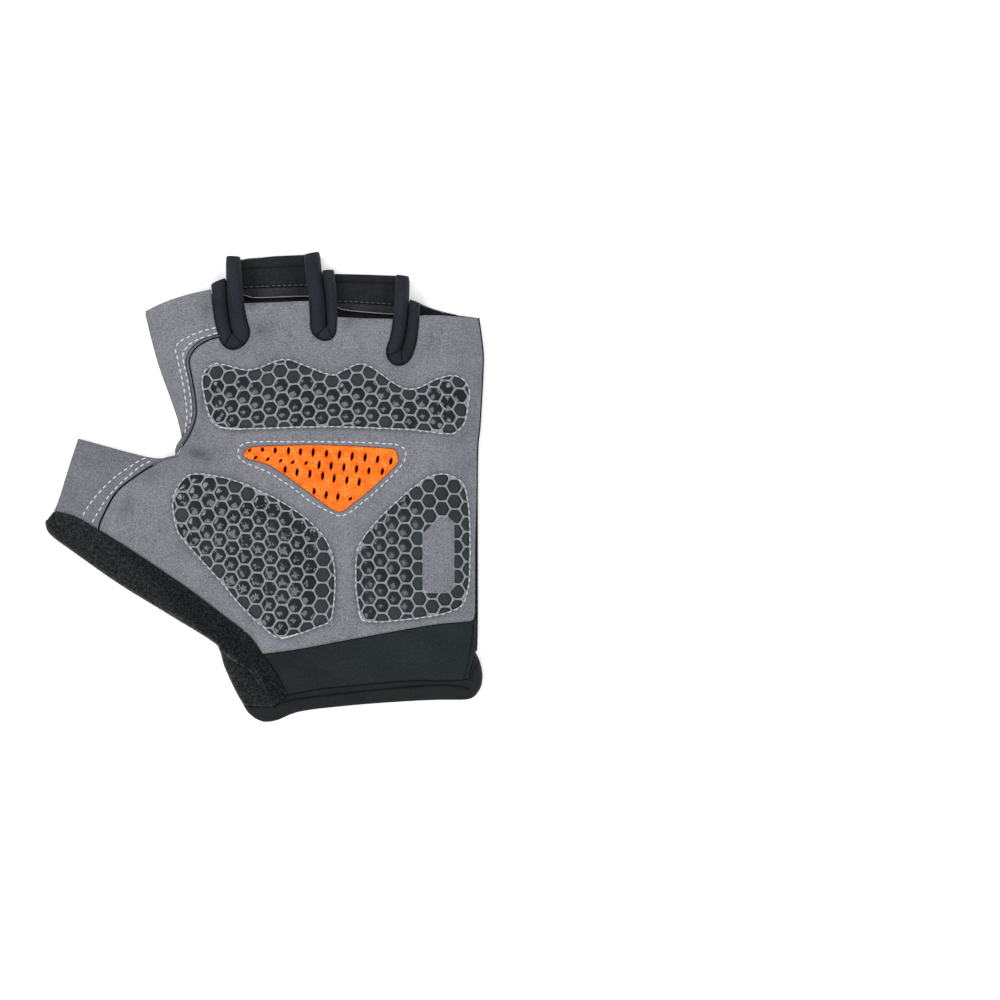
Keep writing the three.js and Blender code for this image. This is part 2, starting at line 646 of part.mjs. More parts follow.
const glove = new THREE.Group();
glove.add(
  named('palm_panel', palmPanel, suede),
  named('index_panel', indexPanel, suede),
  named('thumb_panel', thumbPanel, suede),
  named('mesh_vent', meshVent(), orangeMesh),
  named('gel_pad_knuckle', gelPad(knucklePad), gel),
  named('gel_pad_thenar', gelPad(thenarPad), gel),
  named('gel_pad_heel', gelPad(heelPad), gel),
  named('cuff_panel', cuffPanel, cuffCloth),
  named('terry_thumb_panel', terryPanel, towelling),
  named('wrist_binding', wristBinding, cuffCloth),
  named('back_panel', backPanel, stretch),
  named('fourchette_index_middle', gusset(slits.indexMiddle), stretch),
  named('fourchette_middle_ring', gusset(slits.middleRing), stretch),
  named('fourchette_ring_little', gusset(slits.ringLittle), stretch),
  named('middle_finger_hem', fingerHem(hemBand('middle', middleHem), slitCuts), stretch),
  named('ring_finger_hem', fingerHem(hemBand('ring', ringHem), slitCuts), stretch),
);

export default glove;
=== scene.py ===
# %% [markdown]
# # A half-finger fitness glove, palm up
#
# The real glove is sewn from flat cuts of cloth: grey suede on the palm, a black stretch back,
# towelling over the thumb, a neoprene cuff, and three gel pads under a honeycomb web. It lies on its
# back with its fingers away from us. Here every cut of cloth becomes one mesh of its own, so that
# seams, edges and stitches are real gaps and ridges instead of lines in a picture.
#
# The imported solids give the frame: each mesh below stands for one of them and stays in its place.

import math

import bpy
import numpy as np
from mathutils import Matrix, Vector
from mathutils.geometry import delaunay_2d_cdt
from mathutils.kdtree import KDTree


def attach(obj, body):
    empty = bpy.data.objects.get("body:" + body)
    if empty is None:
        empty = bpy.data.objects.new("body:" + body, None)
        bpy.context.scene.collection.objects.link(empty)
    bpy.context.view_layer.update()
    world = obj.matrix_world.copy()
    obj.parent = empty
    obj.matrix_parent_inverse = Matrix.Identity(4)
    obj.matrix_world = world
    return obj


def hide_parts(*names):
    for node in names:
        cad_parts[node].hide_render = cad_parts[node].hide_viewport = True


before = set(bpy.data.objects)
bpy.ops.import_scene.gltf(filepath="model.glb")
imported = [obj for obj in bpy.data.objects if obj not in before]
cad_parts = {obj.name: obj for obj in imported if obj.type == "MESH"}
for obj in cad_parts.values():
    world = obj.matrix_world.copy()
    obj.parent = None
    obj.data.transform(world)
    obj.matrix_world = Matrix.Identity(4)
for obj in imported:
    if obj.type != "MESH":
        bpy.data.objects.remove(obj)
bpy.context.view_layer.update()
MM = 0.001  # the tables below are in millimetres and Blender works in metres
chance = np.random.default_rng(7)

# %% [markdown]
# ## The seam lines
#
# A glove maker starts from paper patterns. Ours are the same seam lines that the solids are cut by,
# seen from above: x to the right, y to the fingers, in millimetres, with only the points that each
# line needs. A smooth curve runs through them.

# %% Seam lines
crotch = (-30.3, 10.2)
index_side = [
    (-41.0, 59.2), (-38.6, 49.3), (-36.2, 40.8), (-32.8, 31.3), (-30.1, 23.5), (-28.6, 17.3), (-28.4, 13.6),
    crotch,
]
thumb_top = [crotch, (-37.1, 9.6), (-45.6, 11.4), (-54.1, 13.7), (-63.6, 16.3)]
thumb_mouth = [(-63.6, 16.3), (-65.6, 9.2), (-68.5, -0.7), (-70.2, -5.4), (-71.6, -8.6)]
thumb_under = [
    (-74.9, -12.4), (-73.3, -16.5), (-64.5, -23.1), (-49.5, -33.6), (-32.2, -44.2), (-17.9, -53.0),
    (-15.4, -56.0), (-13.9, -61.3), (-10.5, -68.9), (-7.2, -74.8),
]
hem_fold = [(-7.2, -74.8), (-5.7, -77.2), (-3.2, -79.3)]
terry_by_thumb = [(-71.6, -8.6), (-70.2, -9.0), (-64.3, -10.5), (-56.1, -15.0)]
terry_by_palm = [
    (-56.1, -15.0), (-45.9, -21.3), (-35.0, -28.4), (-24.1, -35.9), (-13.3, -44.2), (-5.1, -50.6),
    (-0.3, -57.1),
]
terry_by_cuff = [(-0.3, -57.1), (2.5, -61.0), (5.3, -65.6), (7.8, -71.2)]
terry_back = [crotch, (-25.0, -10.0), (-17.0, -30.0), (-7.0, -50.0), (2.0, -75.2)]
thumb_seam = [(-56.1, -15.0), (-54.7, -10.9), (-49.6, -1.9), (-41.7, 4.4), (-37.6, 7.0), (-34.3, 8.9), crotch]
index_seam = [
    crotch, (-25.2, 17.5), (-23.0, 23.1), (-22.8, 27.9), (-24.0, 36.0), (-25.1, 41.5), (-24.6, 44.2),
    (-22.6, 46.9), (-18.9, 49.3), (-15.2, 50.5), (-11.4, 51.6),
]
ulnar_side = [
    (73.4, 57.2), (74.8, 46.2), (74.8, 38.8), (73.8, 20.7), (72.9, 7.5), (72.8, -49.0), (72.1, -57.0),
]
hem_side = [(72.1, -57.0), (73.4, -59.8), (74.3, -64.0), (73.9, -68.2), (72.1, -71.3)]
palm_bottom = [
    (71.6, -44.9), (71.1, -45.7), (70.3, -46.1), (66.8, -46.4), (56.1, -47.4), (30.9, -51.9), (12.2, -55.4),
    (-0.3, -57.1),
]
cuff_bottom = [
    (7.8, -71.2), (17.7, -69.2), (30.9, -67.8), (49.0, -66.2), (67.8, -66.0), (70.0, -63.2), (72.1, -57.0),
]
hem_by_terry = [(-7.2, -74.8), (-1.0, -75.0), (2.0, -75.2)]
hem_by_back = [(2.0, -75.2), (4.6, -74.0), (7.8, -71.2)]
hem_bottom = [
    (72.1, -71.3), (69.0, -72.7), (58.8, -72.7), (46.2, -73.3), (29.2, -74.6), (12.6, -76.6), (4.6, -79.6),
    (0.0, -80.3), (-3.2, -79.3),
]

# %% Outlines of the vent and the pads
vent_opening = [
    (-6.8, 10.5), (-4.1, 13.1), (7.8, 13.8), (22.4, 13.9), (42.2, 12.8), (44.9, 11.9), (45.7, 9.9),
    (44.9, 6.8),
    (36.4, -1.3), (29.9, -6.5), (26.7, -8.7), (23.5, -8.1), (17.0, -3.5), (7.8, 3.3), (1.4, 7.2), (-5.4, 9.2),
]
knuckle_pad = [
    (-20.7, 34.5), (-20.1, 38.4), (-16.9, 41.4), (-12.9, 41.1), (-4.5, 39.4), (4.0, 42.3), (8.4, 43.0),
    (13.1, 41.4), (22.8, 37.8), (27.4, 39.4), (32.6, 41.5), (37.1, 40.1), (48.9, 32.9), (59.3, 36.5),
    (64.5, 37.6), (68.3, 35.8), (70.0, 32.0), (69.4, 26.7), (68.3, 21.5), (65.1, 18.0), (61.2, 17.6),
    (49.5, 18.9), (22.2, 19.9), (-7.1, 19.2), (-14.3, 19.9), (-17.5, 22.2), (-19.4, 27.4),
]
thenar_pad = [
    (-30.8, -5.2), (-29.5, -1.0), (-26.4, 3.2), (-22.9, 4.2), (-16.0, 3.5), (-9.0, 1.8), (-0.7, -1.7),
    (6.3, -5.2), (13.2, -9.7), (18.8, -14.9), (22.2, -19.7), (24.0, -26.0), (24.5, -32.9), (24.0, -39.9),
    (22.9, -45.4), (18.8, -47.8), (6.3, -51.5),
    (-0.7, -47.2), (-7.6, -40.6), (-14.6, -32.2), (-27.0, -18.4), (-29.8, -12.8),
]
heel_pad = [
    (31.6, -23.2), (33.0, -19.0), (37.5, -12.8), (44.4, -5.9), (51.3, 0.0), (56.2, 3.2), (61.1, 4.2),
    (65.3, 2.8), (68.0, 0.4), (69.4, -5.2), (70.1, -13.5), (70.1, -26.0), (69.8, -32.9), (68.3, -39.2),
    (65.3, -42.0), (58.3, -44.0), (47.9, -45.4), (39.6, -46.1), (34.0, -45.4), (32.3, -41.2), (31.3, -32.9),
]

# %% The slits between the fingers, and where each finger ends
# Each slit has a gusset with two arms. "left_top" and "right_top" are their heights. "left" and "right"
# say how far they reach from the slit's spine, at the mouth and at the foot, "foot" how far the gusset
# reaches below the spine's end, and "slant" how much lower the outer side of each arm ends.
slits = {
    "index_middle": {
        "spine": [(-13.2, 79.6), (-13.0, 70.0), (-12.6, 62.2), (-11.9, 56.4), (-10.9, 52.0)],
        "left_top": 70.9, "right_top": 78.3, "left": (5.2, 4.6), "right": (5.1, 6.3),
        "foot": 5.9, "slant": (2.2, 0.4),
    },
    "middle_ring": {
        "spine": [(18.9, 80.0), (19.7, 71.7), (20.7, 64.9), (21.2, 58.1), (21.2, 54.6)],
        "left_top": 79.8, "right_top": 73.3, "left": (5.6, 5.5), "right": (4.3, 3.6),
        "foot": 5.4, "slant": (0.7, 0.2),
    },
    "ring_little": {
        "spine": [(49.5, 71.7), (49.3, 63.2), (48.6, 54.7), (47.6, 49.0), (46.6, 46.2)],
        "left_top": 71.3, "right_top": 63.6, "left": (4.9, 4.9), "right": (3.7, 4.4),
        "foot": 5.6, "slant": (-0.5, 1.2),
    },
}
palm_mouth = [
    (-12.6, 62.0), (4.0, 62.5), (20.4, 63.2), (20.4, 57.8), (34.0, 57.0), (48.9, 56.8), (48.9, 57.6),
    (54.5, 58.1), (61.0, 58.0), (72.6, 57.3),
]
index_mouth = [(-12.6, 68.1), (-18.2, 66.9), (-24.0, 65.6), (-29.7, 64.0), (-35.0, 62.2), (-41.0, 59.5)]
back_mouth = [
    (-40.8, 59.0), (-12.6, 67.6), (-12.6, 76.9), (-6.0, 77.8), (3.5, 78.7), (19.4, 79.4), (19.4, 72.7),
    (34.0, 72.4), (49.4, 71.8), (49.4, 64.5), (53.7, 62.2), (60.3, 59.5), (66.0, 58.4), (73.4, 57.4),
]

# %% [markdown]
# ## Lines, distances and heights
#
# Everything soft here follows from one question: how far is this point from the nearest seam? Near a
# side seam the palm turns down like the side of a pillow, and in the middle it is level. So we need
# smooth curves, distances to them, and a test for being inside an outline. numpy does this for many
# thousand points at once, which keeps the script quick.

# %% Smooth curves
def curve_between(before, start, end, after, step):
    """Catmull-Rom stretches from each start to its end, cut into equal steps."""
    pull_in, pull_out = (end - before) / 2, (after - start) / 2
    t = np.linspace(0, 1, 25)[:, None, None]
    curve = (2 * start - 2 * end + pull_in + pull_out) * t**3
    curve = curve + (-3 * start + 3 * end - 2 * pull_in - pull_out) * t**2 + pull_in * t + start
    return even_steps(curve.transpose(1, 0, 2).reshape(-1, 2), step)


def smooth_line(points, step=1.0):
    """A curve through the points, from the first to the last."""
    given = np.array(points, float)
    before = np.vstack([given[:1], given[:-2]])
    after = np.vstack([given[2:], given[-1:]])
    return curve_between(before, given[:-1], given[1:], after, step)


def smooth_loop(points, step=1.0):
    """A closed curve through the points. Its first point isn't repeated at its end."""
    given = np.array(points, float)
    around = [np.roll(given, shift, 0) for shift in (1, 0, -1, -2)]
    return curve_between(*around, step)[:-1]


def even_steps(points, step):
    """The same line with its points an equal step apart."""
    points = np.asarray(points, float)
    along = np.concatenate([[0], np.cumsum(np.hypot(*np.diff(points, axis=0).T))])
    count = max(2, round(along[-1] / step))
    at = np.linspace(0, along[-1], count + 1)
    return np.column_stack([np.interp(at, along, points[:, axis]) for axis in (0, 1)])


def joined(*lines):
    """Lines end to end as one outline, without doubled points."""
    points = np.vstack(lines)
    step = np.hypot(*(np.roll(points, -1, 0) - points).T)
    return points[step > 0.05]


def left_normals(points, closed=False):
    """Unit vectors across a line, on its left side."""
    if closed:
        run = np.roll(points, -1, 0) - np.roll(points, 1, 0)
    else:
        run = np.gradient(points, axis=0)
    run = run / np.hypot(*run.T)[:, None]
    return np.column_stack([-run[:, 1], run[:, 0]])


# %% Distances
NEAREST = 5  # edges measured for each place


def distance_to_edges(places, starts, ends):
    """How far each place is from the nearest of many short edges.
    A search tree finds the few edges whose middles are nearest, and only those are measured."""
    if not len(places):
        return np.zeros(0)
    runs = ends - starts
    if len(starts) > NEAREST:
        tree = KDTree(len(starts))
        for index, (x, y) in enumerate(((starts + ends) / 2).tolist()):
            tree.insert((x, y, 0), index)
        tree.balance()
        near = np.array([[hit[1] for hit in tree.find_n((x, y, 0), NEAREST)] for x, y in places.tolist()])
    else:
        near = np.tile(np.arange(len(starts)), (len(places), 1))
    from_start = places[:, None] - starts[near]
    share = (from_start * runs[near]).sum(2) / np.maximum((runs**2).sum(1), 1e-9)[near]
    away = from_start - np.clip(share, 0, 1)[..., None] * runs[near]
    return np.sqrt((away**2).sum(2)).min(1)


def distance_to(places, line):
    """How far each place is from a line."""
    line = np.asarray(line, float)
    return distance_to_edges(places, line[:-1], line[1:])


def swell(places, line, height, width):
    """Height of a soft swell along a line, which fades out over its width."""
    return height * np.exp(-((distance_to(places, line) / width) ** 2))


def inside(places, outline):
    """Whether each place lies inside a closed outline."""
    x, y = places.T
    result = np.zeros(len(places), bool)
    for (ax, ay), (bx, by) in zip(outline, np.roll(outline, -1, 0)):
        if ay != by:
            result ^= ((ay > y) != (by > y)) & (x < (bx - ax) * (y - ay) / (by - ay) + ax)
    return result


def closed(outline):
    """An outline with its first point again at its end."""
    return np.vstack([outline, outline[:1]])


def smooth_step(value, low, high):
    """From 0 at low to 1 at high, easing in and out."""
    t = np.clip((value - low) / (high - low), 0, 1)
    return t * t * (3 - 2 * t)


# %% Where the side seams run
coarse = {"step": 2.5}
side_seams = [
    smooth_line(index_side, **coarse), smooth_line(thumb_top, **coarse),
    np.vstack([smooth_line(thumb_under, **coarse), smooth_line(hem_fold, **coarse)[1:]]),
    np.vstack([smooth_line(ulnar_side, **coarse), smooth_line(hem_side, **coarse)[1:]]),
]
held_open = np.vstack([  # the side seams closed far outside the finger, thumb and wrist mouths
    [(-46, 100)], side_seams[0], side_seams[1], [(-90, 24), (-100, -6)], side_seams[2],
    [(2, -100), (70, -100)], side_seams[3][::-1], [(72, 100)],
])
spines = [smooth_line(slit["spine"], 2.0) for slit in slits.values()]


def measured_depth(places):
    """Distance inwards from the nearest side seam, and below zero outside."""
    distance = np.min([distance_to(places, seam) for seam in side_seams], axis=0)
    return np.where(inside(places, held_open), distance, -distance)


# %% Heights kept on a grid
# The pieces ask for the same heights again and again. So each is worked out once, at the knots of a
# grid, and read from there with Catmull-Rom curves in both directions.
KNOT = 0.8  # between two knots, mm
GRID_LOW = np.array([-84.0, -90.0])
GRID_HIGH = np.array([84.0, 90.0])


def knot_weights(t):
    """The shares of the four knots round a place that lies a part t of the way from the second."""
    outer_left, inner_left = (-t + 2 * t**2 - t**3) / 2, (2 - 5 * t**2 + 3 * t**3) / 2
    inner_right, outer_right = (t + 4 * t**2 - 3 * t**3) / 2, (t**3 - t**2) / 2
    return outer_left, inner_left, inner_right, outer_right


def on_grid(face):
    """The same heights, read from a grid."""
    count = np.ceil((GRID_HIGH - GRID_LOW) / KNOT).astype(int)
    across, up = np.meshgrid(*[np.arange(n) for n in count], indexing="ij")
    knots = face(GRID_LOW + np.column_stack([across.ravel(), up.ravel()]) * KNOT).reshape(count)

    def read(places):
        at = (places - GRID_LOW) / KNOT
        cell = np.clip(np.floor(at).astype(int), 1, count - 3)
        part = np.clip(at - cell, 0, 1)
        x_shares, y_shares = knot_weights(part[:, 0]), knot_weights(part[:, 1])
        height = np.zeros(len(places))
        for i in range(4):
            for j in range(4):
                height += x_shares[i] * y_shares[j] * knots[cell[:, 0] + i - 1, cell[:, 1] + j - 1]
        return height
    return read


depth_inside = on_grid(measured_depth)


def rise(depth, width):
    """From 0 at a seam to 1 where the cloth has levelled out, like the side of a pillow."""
    return 1 - (1 - np.clip(depth / width, 0, 1)) ** 2


# %% The hollow that a hand leaves, and the soft valleys over it
SEAM_HEIGHT = 3.6  # of the side seams over the floor
HAND_ROOM = 12.6  # height of the palm's inner face in the middle, less by the fingers, wrist and thumb
PALM_ROUND = 18  # width over which the palm turns down to a side seam
BACK_ROUND = 12  # the same for the back, which turns up
SLIT_LIFT = 6  # how much fuller the palm is beside a gusset than beside a side seam
creases = [  # from, to, depth, width
    ((-30, 10), (-8, 4), 1.5, 7), ((-50, -22), (-22, -6), 1.0, 8), ((26, -14), (28, -50), 0.8, 8),
    ((-18, 46), (60, 46), 0.7, 9),
]


def hollow(places):
    """Height of the palm's inner face."""
    x, y = places.T
    room = HAND_ROOM - 3.2 * smooth_step(y, 32, 66) - 3.0 * smooth_step(-y, 42, 76)
    room = room - 3.4 * smooth_step(-x, 28, 60) * (1 - smooth_step(y, 16, 34))
    beside_slit = np.min([distance_to(places, spine) for spine in spines], axis=0)
    share = rise(np.minimum(depth_inside(places), beside_slit + SLIT_LIFT), PALM_ROUND)
    valley = 0
    for start, end, depth, width in creases:
        valley = valley + swell(places, (start, end), depth, width)
    return SEAM_HEIGHT + (room - SEAM_HEIGHT) * share - valley * share


palm_inner = on_grid(hollow)


def above(inner, wall):
    """The face that lies a wall's thickness over another, measured square to the slope."""
    def face(places):
        step_x, step_y = np.array([1.0, 0]), np.array([0, 1.0])
        slope_x = (inner(places + step_x) - inner(places - step_x)) / 2
        slope_y = (inner(places + step_y) - inner(places - step_y)) / 2
        return inner(places) + wall * np.sqrt(1 + slope_x**2 + slope_y**2)
    return face


def back_outer(wall):
    """The face that lies on the floor and turns up to the side seams."""
    edge = SEAM_HEIGHT - 0.15 - wall
    return lambda places: edge * (1 - rise(depth_inside(places), BACK_ROUND))


def back_inner(wall):
    return lambda places: back_outer(wall)(places) + wall


print("palm height in the middle, mm:", palm_inner(np.array([[20.0, 10.0]])).round(2))

# %% [markdown]
# ## From an outline to a piece of cloth
#
# A cut of cloth is a slab between two faces. We could extrude the outline and sculpt it, or cut a
# grid with booleans. Here the outline is filled with a constrained triangulation instead: the edge
# stays exact, extra points go where a rounded edge or a row of stitches needs them, and a hexagonal
# grid fills the rest. Each point is then lifted to the height of its face. Cuts, such as the vent or
# the slits between the fingers, are just triangles that are left out.

# %% Fill an outline with triangles
def hexagon_grid(outline, spacing):
    """Points of a hexagonal grid over an outline's box."""
    low, high = outline.min(0), outline.max(0)
    rows = np.arange(low[1], high[1] + spacing, spacing * math.sqrt(3) / 2)
    across = np.arange(low[0], high[0] + spacing, spacing)
    return np.vstack([
        np.column_stack([across + (i % 2) * spacing / 2, np.full(len(across), y)]) for i, y in enumerate(rows)
    ])


def triangulate(outline, cuts, free):
    """Triangles that fill the outline and leave the cuts open, between edge points and free ones."""
    rings = [outline, *cuts]
    points = np.vstack([*rings, free]) if len(free) else np.vstack(rings)
    edges, start = [], 0
    for ring in rings:
        count = len(ring)
        edges += [(start + i, start + (i + 1) % count) for i in range(count)]
        start += count
    found = delaunay_2d_cdt([tuple(p) for p in points], edges, [], 0, 1e-4, False)
    corners = np.array([tuple(v) for v in found[0]])
    triangles = np.array(found[2])
    middle = corners[triangles].mean(1)
    kept = inside(middle, outline)
    for cut in cuts:
        near = kept & np.all((middle > cut.min(0)) & (middle < cut.max(0)), axis=1)
        where = np.flatnonzero(near)
        kept[where[inside(middle[where], cut)]] = False
    triangles = triangles[kept]
    a, b, c = (corners[triangles[:, i]] for i in range(3))
    turned = (b[:, 0] - a[:, 0]) * (c[:, 1] - a[:, 1]) - (b[:, 1] - a[:, 1]) * (c[:, 0] - a[:, 0]) < 0
    triangles[turned] = triangles[turned][:, ::-1]
    used, triangles = np.unique(triangles, return_inverse=True)
    return corners[used], triangles.reshape(-1, 3)


def rim(triangles):
    """The edges that only one triangle has, each with the cloth on its left."""
    edges = np.vstack([triangles[:, [0, 1]], triangles[:, [1, 2]], triangles[:, [2, 0]]])
    there = {tuple(e) for e in edges.tolist()}
    return np.array([e for e in there if (e[1], e[0]) not in there])


# %% Lift it into a slab with rounded edges
def lip(distance, radius):
    """How far a rounded edge falls away at a distance from the edge."""
    near = np.clip(radius - distance, 0, radius)
    return radius - np.sqrt(np.maximum(radius**2 - near**2, 0))


EDGE_SHARES = (0.12, 0.4, 0.8, 1.3)  # where corners go beside a rounded edge, in radii
FOLD_SHARES = (0.1, 0.25, 0.45, 0.7, 1.0)  # the same on either side of a fold
BESIDE_FEATURE = (-0.8, -0.4, 0, 0.4, 0.8)  # and beside a feature, in mm


def slab(outline, top, bottom, spacing=1.3, edge=0.4, cuts=(), folds=(), features=(), taper=0.0):
    """Corners and faces of a piece of cloth between two faces.
    edge is the radius of its cut edge, folds are (line, radius) where it turns over more softly,
    features are lines that need finer corners beside them, such as rows of stitches, and taper is
    the part by which each cut is narrower underneath."""
    bare, faces = triangulate(outline, cuts, np.zeros((0, 2)))
    border = rim(faces)
    starts, ends = bare[border[:, 0]], bare[border[:, 1]]

    def to_border(places):
        return distance_to_edges(places, starts, ends)

    def well_inside(places):
        return places[(to_border(places) > edge * 1.4) & inside(places, outline)]

    run = (ends - starts) / np.hypot(*(ends - starts).T)[:, None]
    inward = np.column_stack([-run[:, 1], run[:, 0]])
    middle = (starts + ends) / 2
    wanted = []
    for share in EDGE_SHARES:
        places = middle + inward * edge * share
        wanted.append(places[to_border(places) > edge * share * 0.9])
    for line, radius in folds:
        normals = left_normals(line)
        for share in FOLD_SHARES:
            for side in (-1, 1):
                wanted.append(well_inside(line + normals * side * radius * share))
    for line in features:
        normals = left_normals(line)
        for offset in BESIDE_FEATURE:
            wanted.append(well_inside(line + normals * offset))
    grid = hexagon_grid(outline, spacing)
    grid = grid[inside(grid, outline)]
    clear = to_border(grid) > max(edge * 1.6, spacing * 0.45)
    for line in features:
        clear &= distance_to(grid, line) > BESIDE_FEATURE[-1] + spacing * 0.35
    wanted.append(grid[clear])
    flat, faces = triangulate(outline, cuts, np.vstack(wanted))
    border = rim(faces)
    away = to_border(flat)
    fall = lip(away, edge)
    for line, radius in folds:
        fall = np.maximum(fall, lip(distance_to(flat, line), radius))
    low = bottom(flat)
    high = np.maximum(top(flat) - fall, low + 0.05)
    under = flat.copy()
    for cut in cuts if taper else ():
        on_cut = distance_to(flat, closed(cut)) < 0.001
        under[on_cut] += (cut.mean(0) - flat[on_cut]) * taper
    count = len(flat)
    corners = np.vstack([np.column_stack([flat, high]), np.column_stack([under, low])])
    sides = np.column_stack([border[:, 1], border[:, 0], border[:, 0] + count, border[:, 1] + count])
    return corners, [*faces.tolist(), *(faces[:, ::-1] + count).tolist(), *sides.tolist()]


def together(*parts):
    """Several shells as one mesh."""
    corners, faces, start = [], [], 0
    for part_corners, part_faces in parts:
        corners.append(part_corners)
        faces += [[start + i for i in face] for face in part_faces]
        start += len(part_corners)
    return np.vstack(corners), faces


# %% A thin tube
def ring_faces(first, second, count):
    """The faces between two rings of corners, each with its first corner's number."""
    following = [(i, (i + 1) % count) for i in range(count)]
    return [[first + i, first + j, second + j, second + i] for i, j in following]


def strand(points, radius, sides=4):
    """A thin tube along a few points, closed at both ends."""
    points = np.asarray(points, float)
    run = np.gradient(points, axis=0)
    run = run / np.linalg.norm(run, axis=1)[:, None]
    aside = np.cross(run, (0.13, 0.29, 0.95))
    aside = aside / np.linalg.norm(aside, axis=1)[:, None]
    over = np.cross(aside, run)
    radius = np.broadcast_to(radius, len(points))
    around = np.linspace(0, 2 * math.pi, sides, endpoint=False)
    to_side, upwards = np.cos(around)[None, :, None], np.sin(around)[None, :, None]
    ring = to_side * aside[:, None] + upwards * over[:, None]
    corners = (points[:, None] + ring * radius[:, None, None]).reshape(-1, 3)
    faces = [list(range(sides)), [(len(points) - 1) * sides + i for i in range(sides)][::-1]]
    for level in range(len(points) - 1):
        faces += ring_faces((level + 1) * sides, level * sides, sides)
    return corners, faces


# %% Put a piece into the scene
def add_piece(name, shell, material, replaces=(), sharp=50):
    """Makes the mesh, gives it its finish, and fastens it to the glove."""
    corners, faces = shell
    mesh = bpy.data.meshes.new(name)
    mesh.from_pydata((corners * MM).tolist(), [], faces)
    mesh.validate()
    mesh.shade_smooth()
    mesh.set_sharp_from_angle(angle=math.radians(sharp))
    mesh.materials.append(material)
    piece = bpy.data.objects.new(name, mesh)
    bpy.context.scene.collection.objects.link(piece)
    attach(piece, "root")
    if replaces:
        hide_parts(*replaces)
    low, high = corners.min(0).round(1), corners.max(0).round(1)
    print(f"{name}: {len(faces)} faces, {low} to {high} mm")
    return piece


# %% [markdown]
# ## Finishes
#
# Each finish is a small node tree on the object's own coordinates, so its grain keeps its real size:
# a noise with scale 1000 has grains about a millimetre across. Colours that are the same all over go
# straight into the shader's own sockets.

# %% Helpers for node trees
def finish_for(name, roughness, sheen=0.0, coat=0.0, specular=0.5):
    """A new material with its shader, and a helper that adds nodes to it."""
    material = bpy.data.materials.new(name)
    material.use_nodes = True
    tree = material.node_tree
    shader = tree.nodes["Principled BSDF"]
    shader.inputs["Roughness"].default_value = roughness
    shader.inputs["Sheen Weight"].default_value = sheen
    shader.inputs["Sheen Roughness"].default_value = 0.45
    shader.inputs["Coat Weight"].default_value = coat
    shader.inputs["Coat Roughness"].default_value = 0.1
    shader.inputs["Specular IOR Level"].default_value = specular
    place = tree.nodes.new("ShaderNodeTexCoord").outputs["Object"]

    def add(kind, output=0, settings=None, **inputs):
        node = tree.nodes.new("ShaderNode" + kind)
        for key, value in (settings or {}).items():
            setattr(node, key, value)
        for key, value in inputs.items():
            socket = node.inputs[int(key[1:])] if key[0] == "_" else node.inputs[key.replace("_", " ")]
            if isinstance(value, bpy.types.NodeSocket):
                tree.links.new(value, socket)
            else:
                socket.default_value = value
        return node.outputs[output]

    def set_input(socket_name, value):
        tree.links.new(value, shader.inputs[socket_name])

    return material, add, set_input, place


def linear(red, green, blue):
    """A colour as a picture program shows it, 0 to 255, as the shader's linear colour."""
    def one(value):
        v = value / 255
        return v / 12.92 if v <= 0.04045 else ((v + 0.055) / 1.055) ** 2.4
    return (one(red), one(green), one(blue), 1)


def blotches(add, place, scale, detail=2, roughness=0.5, stretch=(1, 1, 1)):
    """A noise of that many grains a metre."""
    spread = add("Mapping", Vector=place, Scale=stretch)
    return add("TexNoise", Vector=spread, Scale=scale, Detail=detail, Roughness=roughness)


def between(add, factor, low, high):
    """A factor stretched from low to high onto 0 to 1."""
    return add("MapRange", Value=factor, From_Min=low, From_Max=high)


def blend_colours(add, factor, first, second):
    """The first colour where the factor is 0, and the second where it is 1."""
    settings = {"data_type": "RGBA"}
    return add("Mix", output=2, settings=settings, _0=factor, _6=first, _7=second)


def add_share(add, factor, share, total=0.0):
    """A factor times its share, added to a total."""
    return add("Math", settings={"operation": "MULTIPLY_ADD"}, _0=factor, _1=share, _2=total)


def bumps(add, set_input, height, distance, strength):
    set_input("Normal", add("Bump", Height=height, Distance=distance, Strength=strength))


# %% [markdown]
# ### Suede
#
# The palm is a synthetic suede: a felt of very fine fibres, brushed so that it looks mottled. A fine
# noise makes the fibres, a broader one the brush marks, and sheen gives the soft light on slopes.
# Beside the creases and the gussets, soft oval spots of painted shade darken the suede towards a shadow
# colour, where the cloth lies in shade.

# %% Suede
# Painted shade: soft dark ovals beside the creases and the gussets.
painted_shade_spots = [  # middle, half length, half width, turn in degrees, how much darker
    ((-22.5, 11.0), 11.0, 5.0, -12, 0.64), ((-1.0, 53.0), 9.0, 5.5, 20, 0.384),
    ((28.5, 55.5), 7.0, 5.0, 50, 0.384), ((-19.5, 61.0), 9.0, 6.0, 75, 0.32),
    ((-38.0, 4.0), 8.0, 4.5, 40, 0.32), ((-46.0, -6.0), 10.0, 5.0, 65, 0.32),
    ((57.0, 50.0), 10.0, 5.0, 75, 0.256), ((-26.0, -22.0), 10.0, 4.5, -50, 0.256),
    ((-4.5, 61.5), 7.0, 3.0, 5, 0.48), ((-20.5, 28.0), 11.0, 3.0, 90, 0.256),
]


def painted_shade_ovals(add, place, spots):
    """How much painted shade darkens each place, from soft ovals."""
    total = 0.0
    for (x, y), half_length, half_width, turn, strength in spots:
        near = add(
            "Mapping", settings={"vector_type": "TEXTURE"}, Vector=place, Location=(x * MM, y * MM, 0),
            Rotation=(0, 0, math.radians(turn)), Scale=(half_length * MM, half_width * MM, 1),
        )
        spot = add("TexGradient", output=1, settings={"gradient_type": "QUADRATIC_SPHERE"}, Vector=near)
        total = add_share(add, spot, strength, total)
    return total


SUEDE_SHADOW = linear(20, 20, 24)


